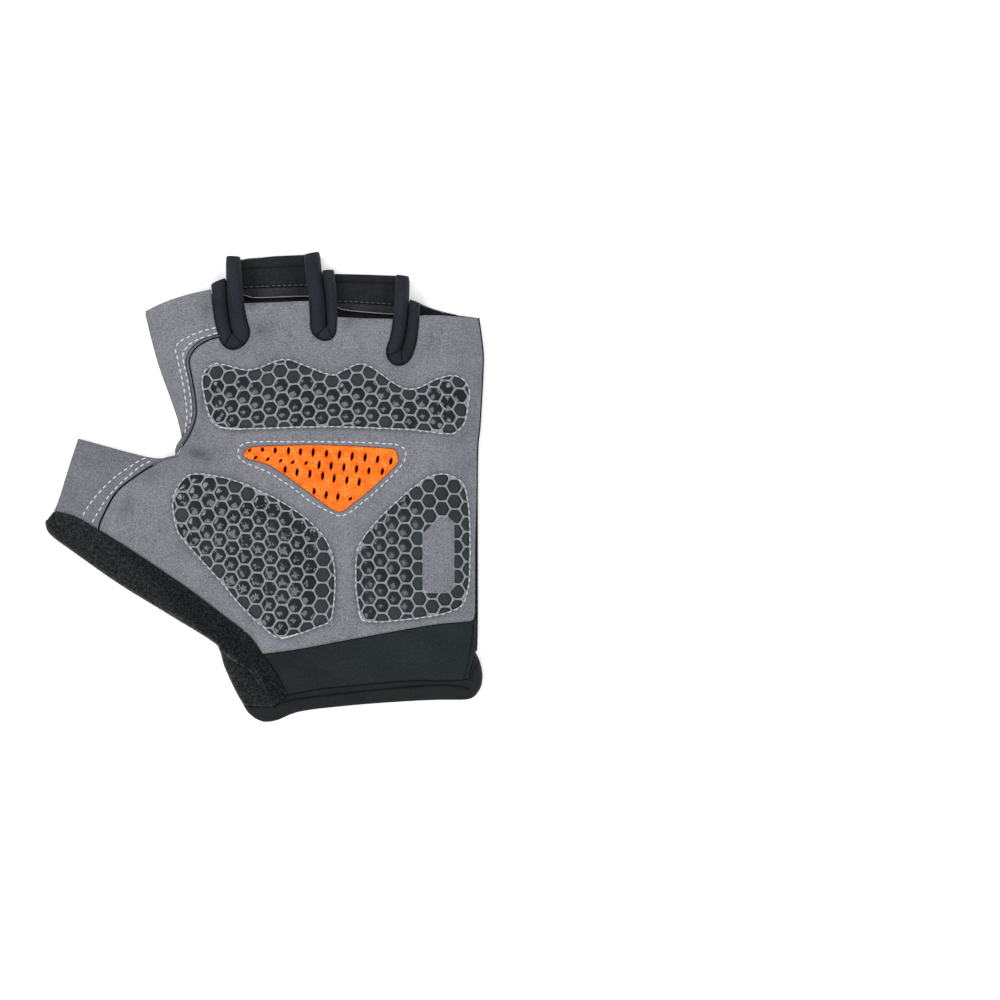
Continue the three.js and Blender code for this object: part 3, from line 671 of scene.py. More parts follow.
def suede_finish(name, dark, light):
    material, add, set_input, place = finish_for(name, roughness=0.95, sheen=0.15, specular=0.2)
    grain = blotches(add, place, 2200, detail=3, roughness=0.7)
    brushed = blotches(add, place, 260, detail=3, stretch=(1, 0.7, 1))
    broad = blotches(add, place, 60)
    mixed = add_share(add, grain, 0.8)
    mixed = add_share(add, brushed, 0.12, mixed)
    mixed = add_share(add, broad, 0.08, mixed)
    colour = blend_colours(add, between(add, mixed, 0.38, 0.62), dark, light)
    # Painted shade from the ovals, blended towards SUEDE_SHADOW.
    shade = painted_shade_ovals(add, place, painted_shade_spots)
    set_input("Base Color", blend_colours(add, shade, colour, SUEDE_SHADOW))
    bumps(add, set_input, grain, 0.00025, 0.6)
    return material


suede = suede_finish("grey_suede", linear(90, 91, 96), linear(138, 139, 145))
index_suede = suede_finish("lighter_suede", linear(92, 93, 98), linear(141, 142, 148))
thumb_suede = suede_finish("darker_suede", linear(83, 84, 89), linear(128, 129, 135))
# The seam roll gets a darker copy of the suede: painted shade for its slope down into the seam.
shaded_rolled_suede = suede_finish("suede_roll_painted_shade", linear(76, 77, 81), linear(114, 115, 120))

# %% [markdown]
# ### Black cloths
#
# Five black cloths meet here, and they differ in weave more than in colour: the stretch knit of the
# back, the smoother knit of the gussets, a greenish neoprene with a fine face, the knit of the wrist
# hem, and rough towelling. Inside a finger hem the back's knit shows its paler wrong side.

# %% Black cloths
def knit_finish(name, dark, light, scale, depth, at_left=None):
    """A close knit: fine columns of stitches with a little unevenness. at_left gives two other
    colours, for a cloth whose colour changes towards the left."""
    material, add, set_input, place = finish_for(name, roughness=0.9, sheen=0.04, specular=0.2)
    bands = {"wave_type": "BANDS"}
    columns = add("TexWave", settings=bands, Vector=place, Scale=scale, Distortion=1.2, Detail=1.0)
    grain = blotches(add, place, 1600)
    broad = blotches(add, place, 120)
    mixed = add_share(add, broad, 0.4, add_share(add, grain, 0.6))
    uneven = between(add, mixed, 0.38, 0.62)
    colour = blend_colours(add, uneven, dark, light)
    if at_left:
        to_right = between(add, add("SeparateXYZ", Vector=place), 0.0, 0.05)
        colour = blend_colours(add, to_right, blend_colours(add, uneven, *at_left), colour)
    set_input("Base Color", colour)
    bumps(add, set_input, add_share(add, columns, 0.4, grain), depth, 0.6)
    return material


stretch = knit_finish("black_stretch_knit", linear(25, 26, 29), linear(38, 39, 43), 700, 0.0001)
gusset_cloth = knit_finish("smooth_gusset_knit", linear(30, 31, 37), linear(40, 41, 48), 900, 0.00008)
neutral = (linear(22, 23, 26), linear(32, 33, 36))
neoprene = knit_finish("dark_neoprene", linear(23, 30, 31), linear(34, 42, 43), 800, 0.00006, at_left=neutral)
hem_cloth = knit_finish("hem_knit", linear(22, 24, 26), linear(31, 34, 36), 700, 0.00008, at_left=neutral)
raw_side = knit_finish("inside_of_the_knit", linear(40, 40, 43), linear(62, 62, 66), 600, 0.00012)


def towelling_finish(name, dark, light, wrist_dark, wrist_light):
    """Looped towelling: black between the loops, grey flecks on them, and paler towards the wrist."""
    material, add, set_input, place = finish_for(name, roughness=1.0, sheen=0.12, specular=0.1)
    loops = add("TexVoronoi", Vector=place, Scale=1300)
    flecks = blotches(add, place, 900, detail=3, roughness=0.7)
    speckled = between(add, flecks, 0.42, 0.7)
    dot = {"operation": "DOT_PRODUCT"}
    to_wrist = add("VectorMath", output=1, settings=dot, _0=place, _1=(-1.0, -1.0, 0.0))
    towards_wrist = between(add, to_wrist, 0.068, 0.073)
    upper_cloth = blend_colours(add, speckled, dark, light)
    wrist_cloth = blend_colours(add, speckled, wrist_dark, wrist_light)
    set_input("Base Color", blend_colours(add, towards_wrist, upper_cloth, wrist_cloth))
    bumps(add, set_input, loops, 0.0004, 0.8)
    return material


towelling = towelling_finish(
    "black_towelling", linear(16, 17, 19), linear(44, 45, 49), linear(27, 28, 31), linear(64, 65, 69),
)
# The rolls of the ridge and the folds get a paler copy of the towelling: a painted highlight along them.
towelling_fold_highlight = towelling_finish(
    "folded_towelling_painted_highlight", linear(40, 41, 44), linear(66, 67, 71), linear(46, 47, 50), linear(80, 81, 85),
)

# %% [markdown]
# ### Orange mesh, gel and thread
#
# The vent is an orange knit with pin holes between its slots. The pads have dark gel cells in a light
# grey web: most are glossy, the others dull, and those of the heel are a little greener. The thread is
# a twisted yarn, white on the suede and greyer round the pads and in the finger hems.

# %% Orange mesh
def mesh_finish(name):
    """An orange knit, with painted shade in its pin holes."""
    material, add, set_input, place = finish_for(name, roughness=0.8, specular=0.2)
    flat = {"voronoi_dimensions": "2D"}
    pins = add("TexVoronoi", settings=flat, Vector=place, Scale=850, Randomness=0.6)
    holes = between(add, pins, 0.1, 0.25)
    shade = between(add, blotches(add, place, 300), 0.35, 0.65)
    cloth = blend_colours(add, shade, linear(246, 102, 12), linear(252, 134, 46))
    # The pin holes get a darker orange: painted shade inside them.
    set_input("Base Color", blend_colours(add, holes, linear(216, 74, 10), cloth))
    bumps(add, set_input, holes, 0.0001, 0.7)
    return material


orange_mesh = mesh_finish("orange_mesh")


# %% Gel, its web and the thread
def gel_finish(name, dark, light, roughness, coat):
    material, add, set_input, place = finish_for(name, roughness, coat=coat, specular=0.3)
    cloudy = blotches(add, place, 90)
    ripples = blotches(add, place, 500, detail=0)
    set_input("Base Color", blend_colours(add, between(add, cloudy, 0.35, 0.65), dark, light))
    bumps(add, set_input, ripples, 0.0001, 0.25)
    return material


def web_finish(name):
    material, add, set_input, place = finish_for(name, roughness=0.85, specular=0.12)
    grain = between(add, blotches(add, place, 1500), 0.35, 0.65)
    set_input("Base Color", blend_colours(add, grain, linear(120, 121, 126), linear(148, 150, 155)))
    bumps(add, set_input, grain, 0.00006, 0.5)
    return material


def thread_finish(name, dark, light):
    material, add, set_input, place = finish_for(name, roughness=0.5, sheen=0.2, specular=0.4)
    diagonal = {"wave_type": "BANDS", "bands_direction": "DIAGONAL"}
    twist = add("TexWave", settings=diagonal, Vector=place, Scale=900)
    set_input("Base Color", blend_colours(add, twist, dark, light))
    bumps(add, set_input, twist, 0.00008, 0.6)
    return material


gel = gel_finish("dark_gel", linear(24, 27, 31), linear(36, 39, 43), roughness=0.14, coat=0.45)
dull_gel = gel_finish("dull_gel", linear(34, 35, 38), linear(46, 47, 51), roughness=0.6, coat=0.0)
green_glossy_gel = gel_finish(
    "greenish_glossy_gel", linear(26, 31, 33), linear(40, 46, 49), roughness=0.2, coat=0.2,
)
green_gel = gel_finish("greenish_gel", linear(28, 35, 36), linear(38, 47, 48), roughness=0.6, coat=0.0)
web = web_finish("grey_web")
white_thread = thread_finish("white_thread", linear(196, 199, 204), linear(228, 231, 236))
pad_thread = thread_finish("pad_thread", linear(168, 171, 177), linear(206, 209, 215))
grey_thread = thread_finish("grey_thread", linear(70, 71, 75), linear(112, 113, 118))
# The pale strand of the raw edges also serves as a painted highlight on the middle finger's top fold.
raw_edge_and_highlight = thread_finish("raw_cut_edge_and_painted_highlight", linear(120, 121, 126), linear(168, 170, 175))
print("finishes:", len(bpy.data.materials))

# %% [markdown]
# ## The suede panels
#
# Three cuts of suede make the front: the palm with the middle, ring and little finger, the index
# finger, and the thumb. Where a gusset sits between two fingers, the palm is cut back in a U. The
# same gutter line gives that cut and, later, the gusset itself.

# %% The line that a gusset follows
ARM_STEPS = 26
TURN_STEPS = 18


def gutter(slit):
    """Stations down one side of a slit and up the other: the place, the direction away from the slit,
    its angle from straight down and how far the gusset reaches."""
    spine = smooth_line(slit["spine"], 0.5)
    bottom = spine[-1]

    def on_spine(y):
        """The spine's point at height y, going on straight above its top."""
        slope = (spine[0] - spine[1]) / (spine[0][1] - spine[1][1])
        over = np.maximum(y - spine[0][1], 0)
        x = np.interp(-y, -spine[:, 1], spine[:, 0])
        return np.column_stack([x + slope[0] * over, y])

    arms = []
    for top in (slit["left_top"], slit["right_top"]):
        y = np.linspace(top, bottom[1], ARM_STEPS + 1)[:-1]
        arms.append(on_spine(y))
    heading = math.atan2(*(bottom - arms[0][-1])[::-1])
    turn = heading - math.pi / 2 + np.linspace(0, math.pi, TURN_STEPS + 1)
    fan = np.column_stack([np.cos(turn), np.sin(turn)])
    left_out = -left_normals(arms[0])
    right_out = left_normals(arms[1])
    places = np.vstack([arms[0], np.repeat([bottom], len(fan), 0), arms[1][::-1]])
    out = np.vstack([left_out, fan, right_out[::-1]])
    around = np.linspace(-90, 90, TURN_STEPS + 1)
    lean = np.concatenate([np.full(ARM_STEPS, -90.0), around, np.full(ARM_STEPS, 90.0)])
    down = np.linspace(0, 1, ARM_STEPS)
    left, right = slit["left"], slit["right"]
    sides = np.where(around < 0, left[1], right[1])
    turning = sides + (slit["foot"] - sides) * np.cos(np.radians(around)) ** 2
    left_arm, right_arm = (arm[0] + (arm[1] - arm[0]) * down for arm in (left, right))
    return places, out, lean, np.concatenate([left_arm, turning, right_arm[::-1]])


ABOVE_MOUTH = 95  # higher than any finger ends


def slit_cut(slit):
    """The strip that a gusset takes out of the palm or the back."""
    places, out, _, reach = gutter(slit)
    cut = places + out * reach[:, None]
    return np.vstack([[(cut[0][0], ABOVE_MOUTH)], cut, [(cut[-1][0], ABOVE_MOUTH)]])


def size_of(shape):
    """A shape's area, below zero when it runs clockwise."""
    x, y = shape.T
    return 0.5 * np.sum(x * np.roll(y, -1) - np.roll(x, -1) * y)


def shrunk(outline, by):
    """An outline moved inwards, whichever way it runs."""
    return outline + left_normals(outline, closed=True) * by * np.sign(size_of(outline))


# The cloth behind is cut a little narrower: it is sewn into the gusset's side.
SEWN_IN = 0.7
slit_cuts = [slit_cut(slit) for slit in slits.values()]
back_cuts = [shrunk(cut, SEWN_IN) for cut in slit_cuts]
print("slit cuts with", [len(cut) for cut in slit_cuts], "points")

# %% Where the stitches run
index_stitches = [
    [
        (-16.3, 53.9), (-22.8, 51.8), (-28.3, 49.0), (-29.9, 46.6), (-29.0, 42.2), (-27.0, 32.4),
        (-26.2, 23.5), (-27.2, 16.7),
    ],
    [
        (-15.6, 52.0), (-22.8, 49.5), (-26.5, 46.6), (-27.3, 43.2), (-25.4, 34.4), (-24.7, 29.2),
        (-24.7, 23.1), (-26.5, 17.7),
    ],
]
thumb_stitches = [
    [(-40.5, 9.6), (-44.6, 7.3), (-52.7, 1.1), (-59.6, -6.9), (-62.1, -11.4)],
    [(-38.8, 8.5), (-43.7, 5.3), (-51.7, -2.4), (-57.1, -10.4), (-58.4, -12.9)],
]
vent_stitches = [
    (-8.5, 11.2), (-7.5, 13.6), (-3.0, 14.9), (13.6, 15.0), (27.0, 14.9), (42.2, 14.3), (47.0, 13.2),
    (48.3, 11.2), (46.9, 7.1), (38.4, -1.6), (29.9, -8.5), (26.6, -10.0), (24.1, -9.5), (17.0, -5.8),
    (8.5, 0.4), (1.7, 4.6), (-5.4, 7.6), (-7.8, 9.2),
]
index_rows = [smooth_line(row, 0.6) for row in index_stitches]
thumb_rows = [smooth_line(row, 0.6) for row in thumb_stitches]
vent_row = smooth_loop(vent_stitches, 0.6)


# %% The face of the suede
SUEDE = 1.2  # how thick it is
dents = [  # from, to, depth, width: soft folds that the light catches
    ((-30, 10.6), (-20, 8.2), 0.8, 2.0), ((-25, 15), (-15, 10), 0.6, 3.5), ((-34, -4), (-38, -22), 0.4, 5.0),
    ((22, 2), (27, -45), 0.5, 3.5), ((-8, 17), (60, 16), 0.3, 2.5), ((60, 44), (63, 54), 0.4, 4.0),
    ((32, 46), (36, 56), 0.3, 4.0), ((-6, 47), (-4, 58), 0.3, 4.0), ((12, 46), (9, 57), 0.25, 3.5),
    ((52, 12), (71, 12), 0.3, 4.0), ((-52, -8), (-40, 2), 0.3, 5.0),
]


def folded(places):
    """Height of the palm's outer face with its soft folds."""
    height = above(palm_inner, SUEDE)(places)
    for start, end, depth, width in dents:
        height = height - swell(places, (start, end), depth, width)
    return height


suede_top = on_grid(folded)


def suede_face(places):
    """The same face with the furrows that the stitches pull in."""
    height = suede_top(places)
    for row in (*index_rows, *thumb_rows, closed(vent_row)):
        height = height - swell(places, row, 0.22, 0.45)
    return height


# %% Palm, index finger and thumb
SEAM_GAP = 0.12  # between a cut of cloth and its seam line
SUEDE_EDGE = 0.45  # radius of the suede's cut edge
palm_side = smooth_line(ulnar_side, 1.0)
inset = 0.5 + 0.5 * smooth_step(-palm_side[:, 1], 0, 25)
palm_side = palm_side - left_normals(palm_side) * inset[:, None]
palm_side = palm_side[(palm_side[:, 1] > -43.5) & (palm_side[:, 1] < 56.5)]
palm_outline = shrunk(joined(
    smooth_line(index_seam), even_steps(palm_mouth, 1.0), palm_side, smooth_line(palm_bottom),
    smooth_line(terry_by_palm)[::-1], smooth_line(thumb_seam),
), SEAM_GAP)
vent_loop = smooth_loop(vent_opening, 0.9)
palm = slab(
    palm_outline, suede_face, palm_inner, cuts=[vent_loop, *slit_cuts], edge=SUEDE_EDGE,
    features=[closed(vent_row)],
)
add_piece("suede_palm", palm, suede, ["palm_panel"])


# The index finger's cloth is turned over along its seam. That roll starts beside the gusset, widens
# towards the crotch and goes on along the thumb's upper edge.
OVERLAP = 0.12  # how deep the roll lies in the seam
BESIDE_ROLL = 0.1  # between the roll and the index finger's cloth
SHORT_OF_SEAM = 0.35  # the fingers' suede stops this far from a side seam
AT_CROTCH = 4  # steps that the index finger's cloth stops short of the crotch, and the thumb's half that
seam_along = smooth_line(index_seam, 0.7)
roll_gap = 0.3 * smooth_step(np.arange(len(seam_along)), 0, 7) - OVERLAP
roll_width = 0.7 + 0.9 * smooth_step(-seam_along[:, 1], -26, -15)
roll_width = roll_width * (1 - 0.7 * smooth_step(seam_along[:, 0], -21, -12))
roll_width = roll_width * (0.15 + 0.85 * smooth_step(np.arange(len(seam_along)), -0.5, 3.5))
outwards = left_normals(seam_along)
roll_middle = seam_along + outwards * (roll_gap + roll_width / 2 + OVERLAP)[:, None]
index_by_roll = seam_along + outwards * (roll_gap + roll_width + OVERLAP + BESIDE_ROLL)[:, None]
thumb_roll = smooth_line([(-29.8, 10.1), (-32.0, 9.8), (-34.2, 9.2), (-35.9, 8.2), (-37.6, 7.1)], 0.5)


def seam_roll(line, width):
    """A roll of cloth that stands a little over the suede beside it."""
    return strand(np.column_stack([line, suede_top(line) + 0.2 - width / 2]), width / 2, 10)


index_edge = smooth_line(index_side)
index_edge = (index_edge + left_normals(index_edge) * SHORT_OF_SEAM)[:-AT_CROTCH]
index_outline = shrunk(joined(index_by_roll[AT_CROTCH:], smooth_line(index_mouth), index_edge), SEAM_GAP)
index = slab(index_outline, suede_face, palm_inner, cuts=[slit_cuts[0]], edge=SUEDE_EDGE, features=index_rows)
add_piece("suede_index", index, index_suede, ["index_panel"])
seam_rolls = together(
    seam_roll(roll_middle, roll_width), seam_roll(thumb_roll, np.linspace(0.9, 0.6, len(thumb_roll))),
)
# The roll carries the darker suede, painted shade for its slope.
add_piece("suede_seam_roll", seam_rolls, shaded_rolled_suede, sharp=80)

thumb_side = smooth_line(thumb_seam)
thumb_side = (thumb_side + left_normals(thumb_side) * SHORT_OF_SEAM)[:-AT_CROTCH // 2]
thumb_outline = shrunk(joined(
    thumb_side, smooth_line(thumb_top)[AT_CROTCH // 2:], smooth_line(thumb_mouth),
    smooth_line(terry_by_thumb),
), SEAM_GAP)
thumb = slab(thumb_outline, suede_face, palm_inner, edge=SUEDE_EDGE, features=thumb_rows)
add_piece("suede_thumb", thumb, thumb_suede, ["thumb_panel"])

# %% [markdown]
# ## Gel pads
#
# Each pad is soft gel under a grey honeycomb web, sewn down along its border. It could be a bump on
# the palm, but then the cells would lose their glints. So each pad has four meshes: the soft body,
# the web with a hole for each cell, and the glossy and the dull cells, which are thin tablets that lie
# sunk in the holes. Each tablet has a star-shaped level in its middle, which mirrors the light where
# the gel is glossy. Cells along the border are dull. The heel's pad also has a plain field of suede.

# %% The swell of a pad
PAD_EDGE = 1.0  # how far a pad stands over the palm at its border
PAD_CROWN = 0.8  # and how much more in its middle
PAD_ROUND = 8.0  # width over which it swells to that
WEB = 0.68  # width and depth of the web between two cells
island_corners = [
    (64.8, -34.4), (64.8, -12.4), (62.8, -10.5), (59.8, -10.5), (55.0, -15.2), (54.0, -16.4), (54.0, -34.4),
    (55.8, -36.3), (63.0, -36.3),
]


def pad_face(outline):
    """Height of the web on a pad with this outline."""
    loop = closed(outline)

    def face(places):
        distance = distance_to(places, loop)
        depth = np.where(inside(places, outline), distance, -distance)
        return suede_top(places) + PAD_EDGE + PAD_CROWN * rise(depth, PAD_ROUND)
    return on_grid(face)


# %% Cells
SMALLEST_CELL = 0.08  # the part of a whole cell that is left of the smallest ones


def hexagon(across, up):
    """A cell with its points to the left and right and slightly rounded corners."""
    wide, high = across * 2 / 3, up / 2
    share = 1 - WEB / up
    half_round = [(wide, 0), (wide / 2, high), (-wide / 2, high)]
    corners = np.array([*half_round, *[(-x, -y) for x, y in half_round]])
    following = np.roll(corners, -1, 0)
    shares = np.array([0.14, 0.38, 0.62, 0.86])[:, None, None]
    return (corners + (following - corners) * shares).transpose(1, 0, 2).reshape(-1, 2) * share


def left_of(shape, a, b):
    """The part of a shape on the left of the line from a to b."""
    side = (b[0] - a[0]) * (shape[:, 1] - a[1]) - (b[1] - a[1]) * (shape[:, 0] - a[0])
    kept = []
    for i in range(len(shape)):
        j = (i + 1) % len(shape)
        if side[i] >= 0:
            kept.append(shape[i])
        if (side[i] >= 0) != (side[j] >= 0):
            kept.append(shape[i] + (shape[j] - shape[i]) * side[i] / (side[i] - side[j]))
    return np.array(kept).reshape(-1, 2)


def clipped(shape, window):
    """The part of a shape inside a convex window."""
    for a, b in zip(window, np.roll(window, -1, 0)):
        shape = left_of(shape, a, b)
    return shape


def beside_island(cell):
    """What the plain island on the heel pad leaves of a cell, cut along the island's nearest side."""
    ring = np.array(island_corners)
    following = np.roll(ring, -1, 0)
    run = following - ring
    offset = cell.mean(0) - ring
    outwards = (run[:, 1] * offset[:, 0] - run[:, 0] * offset[:, 1]) / np.hypot(*run.T)
    nearest = int(np.argmax(outwards))
    return left_of(cell, following[nearest], ring[nearest])


def cells_in(outline, across, up, start, slope=0.0, sag=0.0, lean=0.0, island=False):
    """The honeycomb's cells inside a pad. Its rows climb by the slope and sag to both sides, its
    columns lean over. Cells on the border are cut off along it."""
    border = shrunk(outline, 0.45)
    loop = closed(border)
    cell = hexagon(across, up)
    whole = size_of(cell)

    def bent(steps):
        x, y = steps.T
        return np.array(start) + np.column_stack([x + lean * y, y + slope * x - sag * x**2])

    columns, rows = (side.ravel() for side in np.meshgrid(np.arange(-14, 15), np.arange(-14, 15)))
    steps = np.column_stack([columns * across, (rows + (columns % 2) / 2) * up])
    places = bent(steps)
    near = inside(places, border) | (distance_to(places, loop) < up * 0.7)
    shapes = [bent(step + cell) for step in steps[near]]
    corners = np.vstack(shapes)
    outside = (~inside(corners, border)).reshape(len(shapes), -1).any(1)
    cells = []
    for cell, crosses in zip(shapes, outside):
        trimmed = clipped(border, cell) if crosses else cell
        if island and len(trimmed) > 2:
            rest = beside_island(trimmed)
            crosses = crosses or len(rest) < 3 or size_of(rest) < size_of(trimmed) - 0.01
            trimmed = rest
        if len(trimmed) < 3 or size_of(trimmed) < SMALLEST_CELL * whole:
            continue
        cells.append(even_steps(closed(trimmed), 0.55)[:-1] if crosses else trimmed)
    return cells


# %% The cells' tablets
WHOLE = 24  # corners of a cell that nothing cuts off
# A tablet's rings, from its border to the middle of its star, lie this far under the web's face.
RING_DROPS = (-0.62, -0.5, -0.46, -0.3, -0.2, -0.18, -0.17)


def tablets(cells, face, sizes):
    """Some cells of a pad as one mesh. Each has a level star in its middle, of a size between the two
    given for its place, and slopes down from the star to its border."""
    middles = np.array([cell.mean(0) for cell in cells])
    places, lifts, faces, start = [], [], [], 0
    for cell, middle in zip(cells, middles):
        count = len(cell)
        around = np.arctan2(*(cell - middle).T[::-1])
        arms, phase = chance.choice([3, 4, 5]), chance.uniform(0, 2 * math.pi)
        size = chance.uniform(*sizes(middle))
        star = size * (1 + 0.34 * np.cos(arms * around + phase) + 0.2 * np.cos(around - 4.1))
        spread = np.clip(star, 0.05, 0.8)[:, None]
        tilt = chance.normal(0, 0.025, 2)
        shares = [1, 0.995, 0.94, 0.5 * (0.94 + spread), spread + 0.06, spread - 0.02, spread * 0.5]
        for share, drop in zip(shares, RING_DROPS):
            offset = (cell - middle) * share
            places.append(middle + offset)
            lifts.append(drop + offset @ tilt)
        places.append(middle[None])
        lifts.append(np.array(RING_DROPS[-1:]))
        faces.append([start + i for i in range(count)][::-1])
        last = start + (len(RING_DROPS) - 1) * count
        for first in range(start, last, count):
            faces += ring_faces(first, first + count, count)
        faces += [[last + i, last + (i + 1) % count, last + count] for i in range(count)]
        start = last + count + 1
    places, lifts = np.vstack(places), np.concatenate(lifts)
    return np.column_stack([places, face(places) + lifts]), faces


# %% Build the three pads
BODY_UNDER_FACE = 0.57


def build_pad(
    name, points, sizes, glossy=gel, dull=dull_gel, glossy_until=math.inf, glossy_below=math.inf, **lattice,
):
    """One pad with its body, web and cells. sizes gives the range of star sizes at a place. Cells to the
    right of glossy_until or above glossy_below are dull, like those along the border."""
    outline = smooth_loop(points, 0.8)
    if size_of(outline) < 0:
        outline = outline[::-1]
    face = pad_face(outline)
    cells = cells_in(outline, **lattice)
    body = slab(
        shrunk(outline, 0.35), lambda p: face(p) - BODY_UNDER_FACE, lambda p: suede_top(p) + 0.02,
        spacing=1.6, edge=0.2,
    )
    body = add_piece(f"gel_body_{name}", body, gel, [f"gel_pad_{name}"])
    holes = [shrunk(cell, -0.04) for cell in cells]
    if lattice.get("island"):
        holes.append(shrunk(even_steps(closed(np.array(island_corners)), 1.0)[:-1], 0.3))
        plate = slab(shrunk(holes[-1], 0.03), face, lambda p: face(p) - WEB, spacing=1.2, edge=0.1)
        add_piece(f"plain_field_{name}", plate, suede)
    web_slab = slab(outline, face, lambda p: face(p) - WEB, spacing=1.2, edge=0.12, cuts=holes)
    add_piece(f"gel_web_{name}", web_slab, web)

    middles = np.array([cell.mean(0) for cell in cells])
    shines = np.array([len(cell) == WHOLE for cell in cells])
    shines &= (middles[:, 0] < glossy_until) & (middles[:, 1] < glossy_below)
    starry = [cell for cell, shine in zip(cells, shines) if shine]
    flat = [cell for cell, shine in zip(cells, shines) if not shine]
    add_piece(f"gel_cells_{name}", tablets(starry, face, sizes), glossy, sharp=40)
    add_piece(f"gel_rim_cells_{name}", tablets(flat, face, lambda _: (0.5, 0.7)), dull, sharp=40)
    print(name, "has", len(cells), "cells")
    return outline, face


def small_below(place):
    """Knuckle pad: small stars in its lower rows, hardly any above them."""
    return (0.0, 0.14) if place[1] > 28 else (0.12, 0.32)


def large_in_the_middle(place):
    """Thenar pad: large stars round its middle."""
    return (0.18, 0.3) if math.dist(place, (0, -24)) > 19 else (0.34, 0.6)


def small_at_left(place):
    """Heel pad: small stars at its lower left."""
    return (0.08, 0.34) if place[0] < 48 and place[1] < -14 else (0.0, 0.14)


knuckle_outline, knuckle_face = build_pad(
    "knuckle", knuckle_pad, small_below, glossy_below=35, across=4.29, up=4.86, start=(23.4, 35.5),
    slope=0.06, sag=0.0014, lean=-0.07,
)
thenar_outline, thenar_face = build_pad(
    "thenar", thenar_pad, large_in_the_middle, glossy_until=17.5, across=4.42, up=5.29, start=(-1.5, -21.4),
    slope=-0.035, lean=0.045,
)
heel_outline, heel_face = build_pad(
    "heel", heel_pad, small_at_left, glossy=green_glossy_gel, dull=green_gel, glossy_until=53, across=4.28,
    up=5.1, start=(48.2, -20.2), slope=-0.02, lean=-0.03, island=True,
)

# %% [markdown]
# ## The vent
#
# The vent is one layer of orange mesh behind an opening in the palm. Its slots are cut through the
# mesh, so that the dark hollow shows, and the pin holes between them are small enough for the finish.

# %% Slots and mesh
def slot_shape(place, half_length, half_width, lean):
    """A pointed oval."""
    around = np.linspace(0, 2 * math.pi, 12, endpoint=False)
    width = half_width * np.sign(np.cos(around)) * np.abs(np.cos(around)) ** 1.2
    ring = np.column_stack([width, half_length * np.sin(around)])
    c, s = math.cos(lean), math.sin(lean)
    return place + ring @ np.array([(c, s), (-s, c)])


SLOT_CLEARANCE = 0.12
MESH_TOP = 0.35  # how far under the suede's face the mesh begins
MESH_BOTTOM = 1.9
SLOT_TAPER = 0.25  # the part by which a slot is narrower underneath
# Each row has the place of its first slot, the pitch and number of its slots, how it falls and sags to
# the right, and which of its slots are small.
slot_rows = [
    {"first": (-4.5, 12.3), "pitch": 4.33, "count": 12, "fall": 0.0, "sag": 0.0018, "small": [0]},
    {"first": (-2.6, 9.5), "pitch": 4.28, "count": 11, "fall": 0.108, "sag": 0.0, "small": [0, 1, 2, 3, 4]},
    {"first": (7.3, 5.4), "pitch": 4.22, "count": 7, "fall": 0.168, "sag": 0.0, "small": []},
    {"first": (17.2, -1.9), "pitch": 4.05, "count": 4, "fall": 0.2, "sag": 0.0, "small": [3]},
]


def vent_slots(border):
    """Rows that fan out to the right. A few slots are small and lean over."""
    slots = []
    for row in slot_rows:
        for column in range(row["count"]):
            along = column * row["pitch"]
            place = np.array(row["first"]) + (along, -row["fall"] * along - row["sag"] * along**2)
            place = place + chance.normal(0, 0.12, 2)
            small = column in row["small"]
            half_length, half_width = (0.95, 0.5) if small else (chance.uniform(1.4, 1.9), 0.66)
            lean = math.radians(-45 if small else -3 - 0.2 * place[0])
            for shorter in (1.0, 0.85, 0.7, 0.55, 0.45):  # a slot by the border is shorter
                shape = slot_shape(place, half_length * shorter, half_width, lean)
                if inside(shape, border).all() and distance_to(shape, closed(border)).min() > SLOT_CLEARANCE:
                    slots.append(shape)
                    break
    return slots


mesh_border = shrunk(vent_loop, SEAM_GAP)
slots = vent_slots(mesh_border)
mesh = slab(
    mesh_border, lambda p: suede_top(p) - MESH_TOP, lambda p: suede_top(p) - MESH_BOTTOM, cuts=slots,
    spacing=1.2, edge=0.15, taper=SLOT_TAPER,
)
add_piece("orange_vent", mesh, orange_mesh, ["mesh_vent"])
print("vent has", len(slots), "slots")

# %% [markdown]
# ## Cuff and wrist hem
#
# The cuff is a smooth neoprene cut, sewn under the palm's lower edge. The hem is a folded band that
# runs round the whole wrist, with a sunk seam along its front and a fold where it turns at the side.

# %% Cuff
cuff_side = smooth_line(ulnar_side, 1.0)
cuff_side = cuff_side - left_normals(cuff_side) * 0.5
cuff_side = cuff_side[(cuff_side[:, 1] < -46) & (cuff_side[:, 1] > -56)]
cuff_outline = shrunk(joined(
    smooth_line(palm_bottom)[::-1], cuff_side, smooth_line(cuff_bottom)[::-1],
    smooth_line(terry_by_cuff)[::-1],
), SEAM_GAP)
cuff_seam = smooth_line([(71.0, -47.6), (70.5, -52.3), (70.0, -56.4), (69.3, -60.4), (68.0, -65.2)], 0.6)


CUFF = 1.45  # how thick it is


def cuff_face(places):
    """The cuff with the furrow of its seam at the right, and four shallow hollows."""
    height = above(palm_inner, CUFF)(places)
    height = height - swell(places, cuff_seam, 0.9, 0.4)
    for row in range(4):
        hollow_line = [(8 + 17 * row, -58.5 + 2 * row), (20 + 17 * row, -66 + row)]
        height = height - swell(places, hollow_line, 0.18, 4.0)
    return height


cuff = slab(cuff_outline, cuff_face, palm_inner, edge=0.5, features=[cuff_seam])
add_piece("neoprene_cuff", cuff, neoprene, ["cuff_panel"])

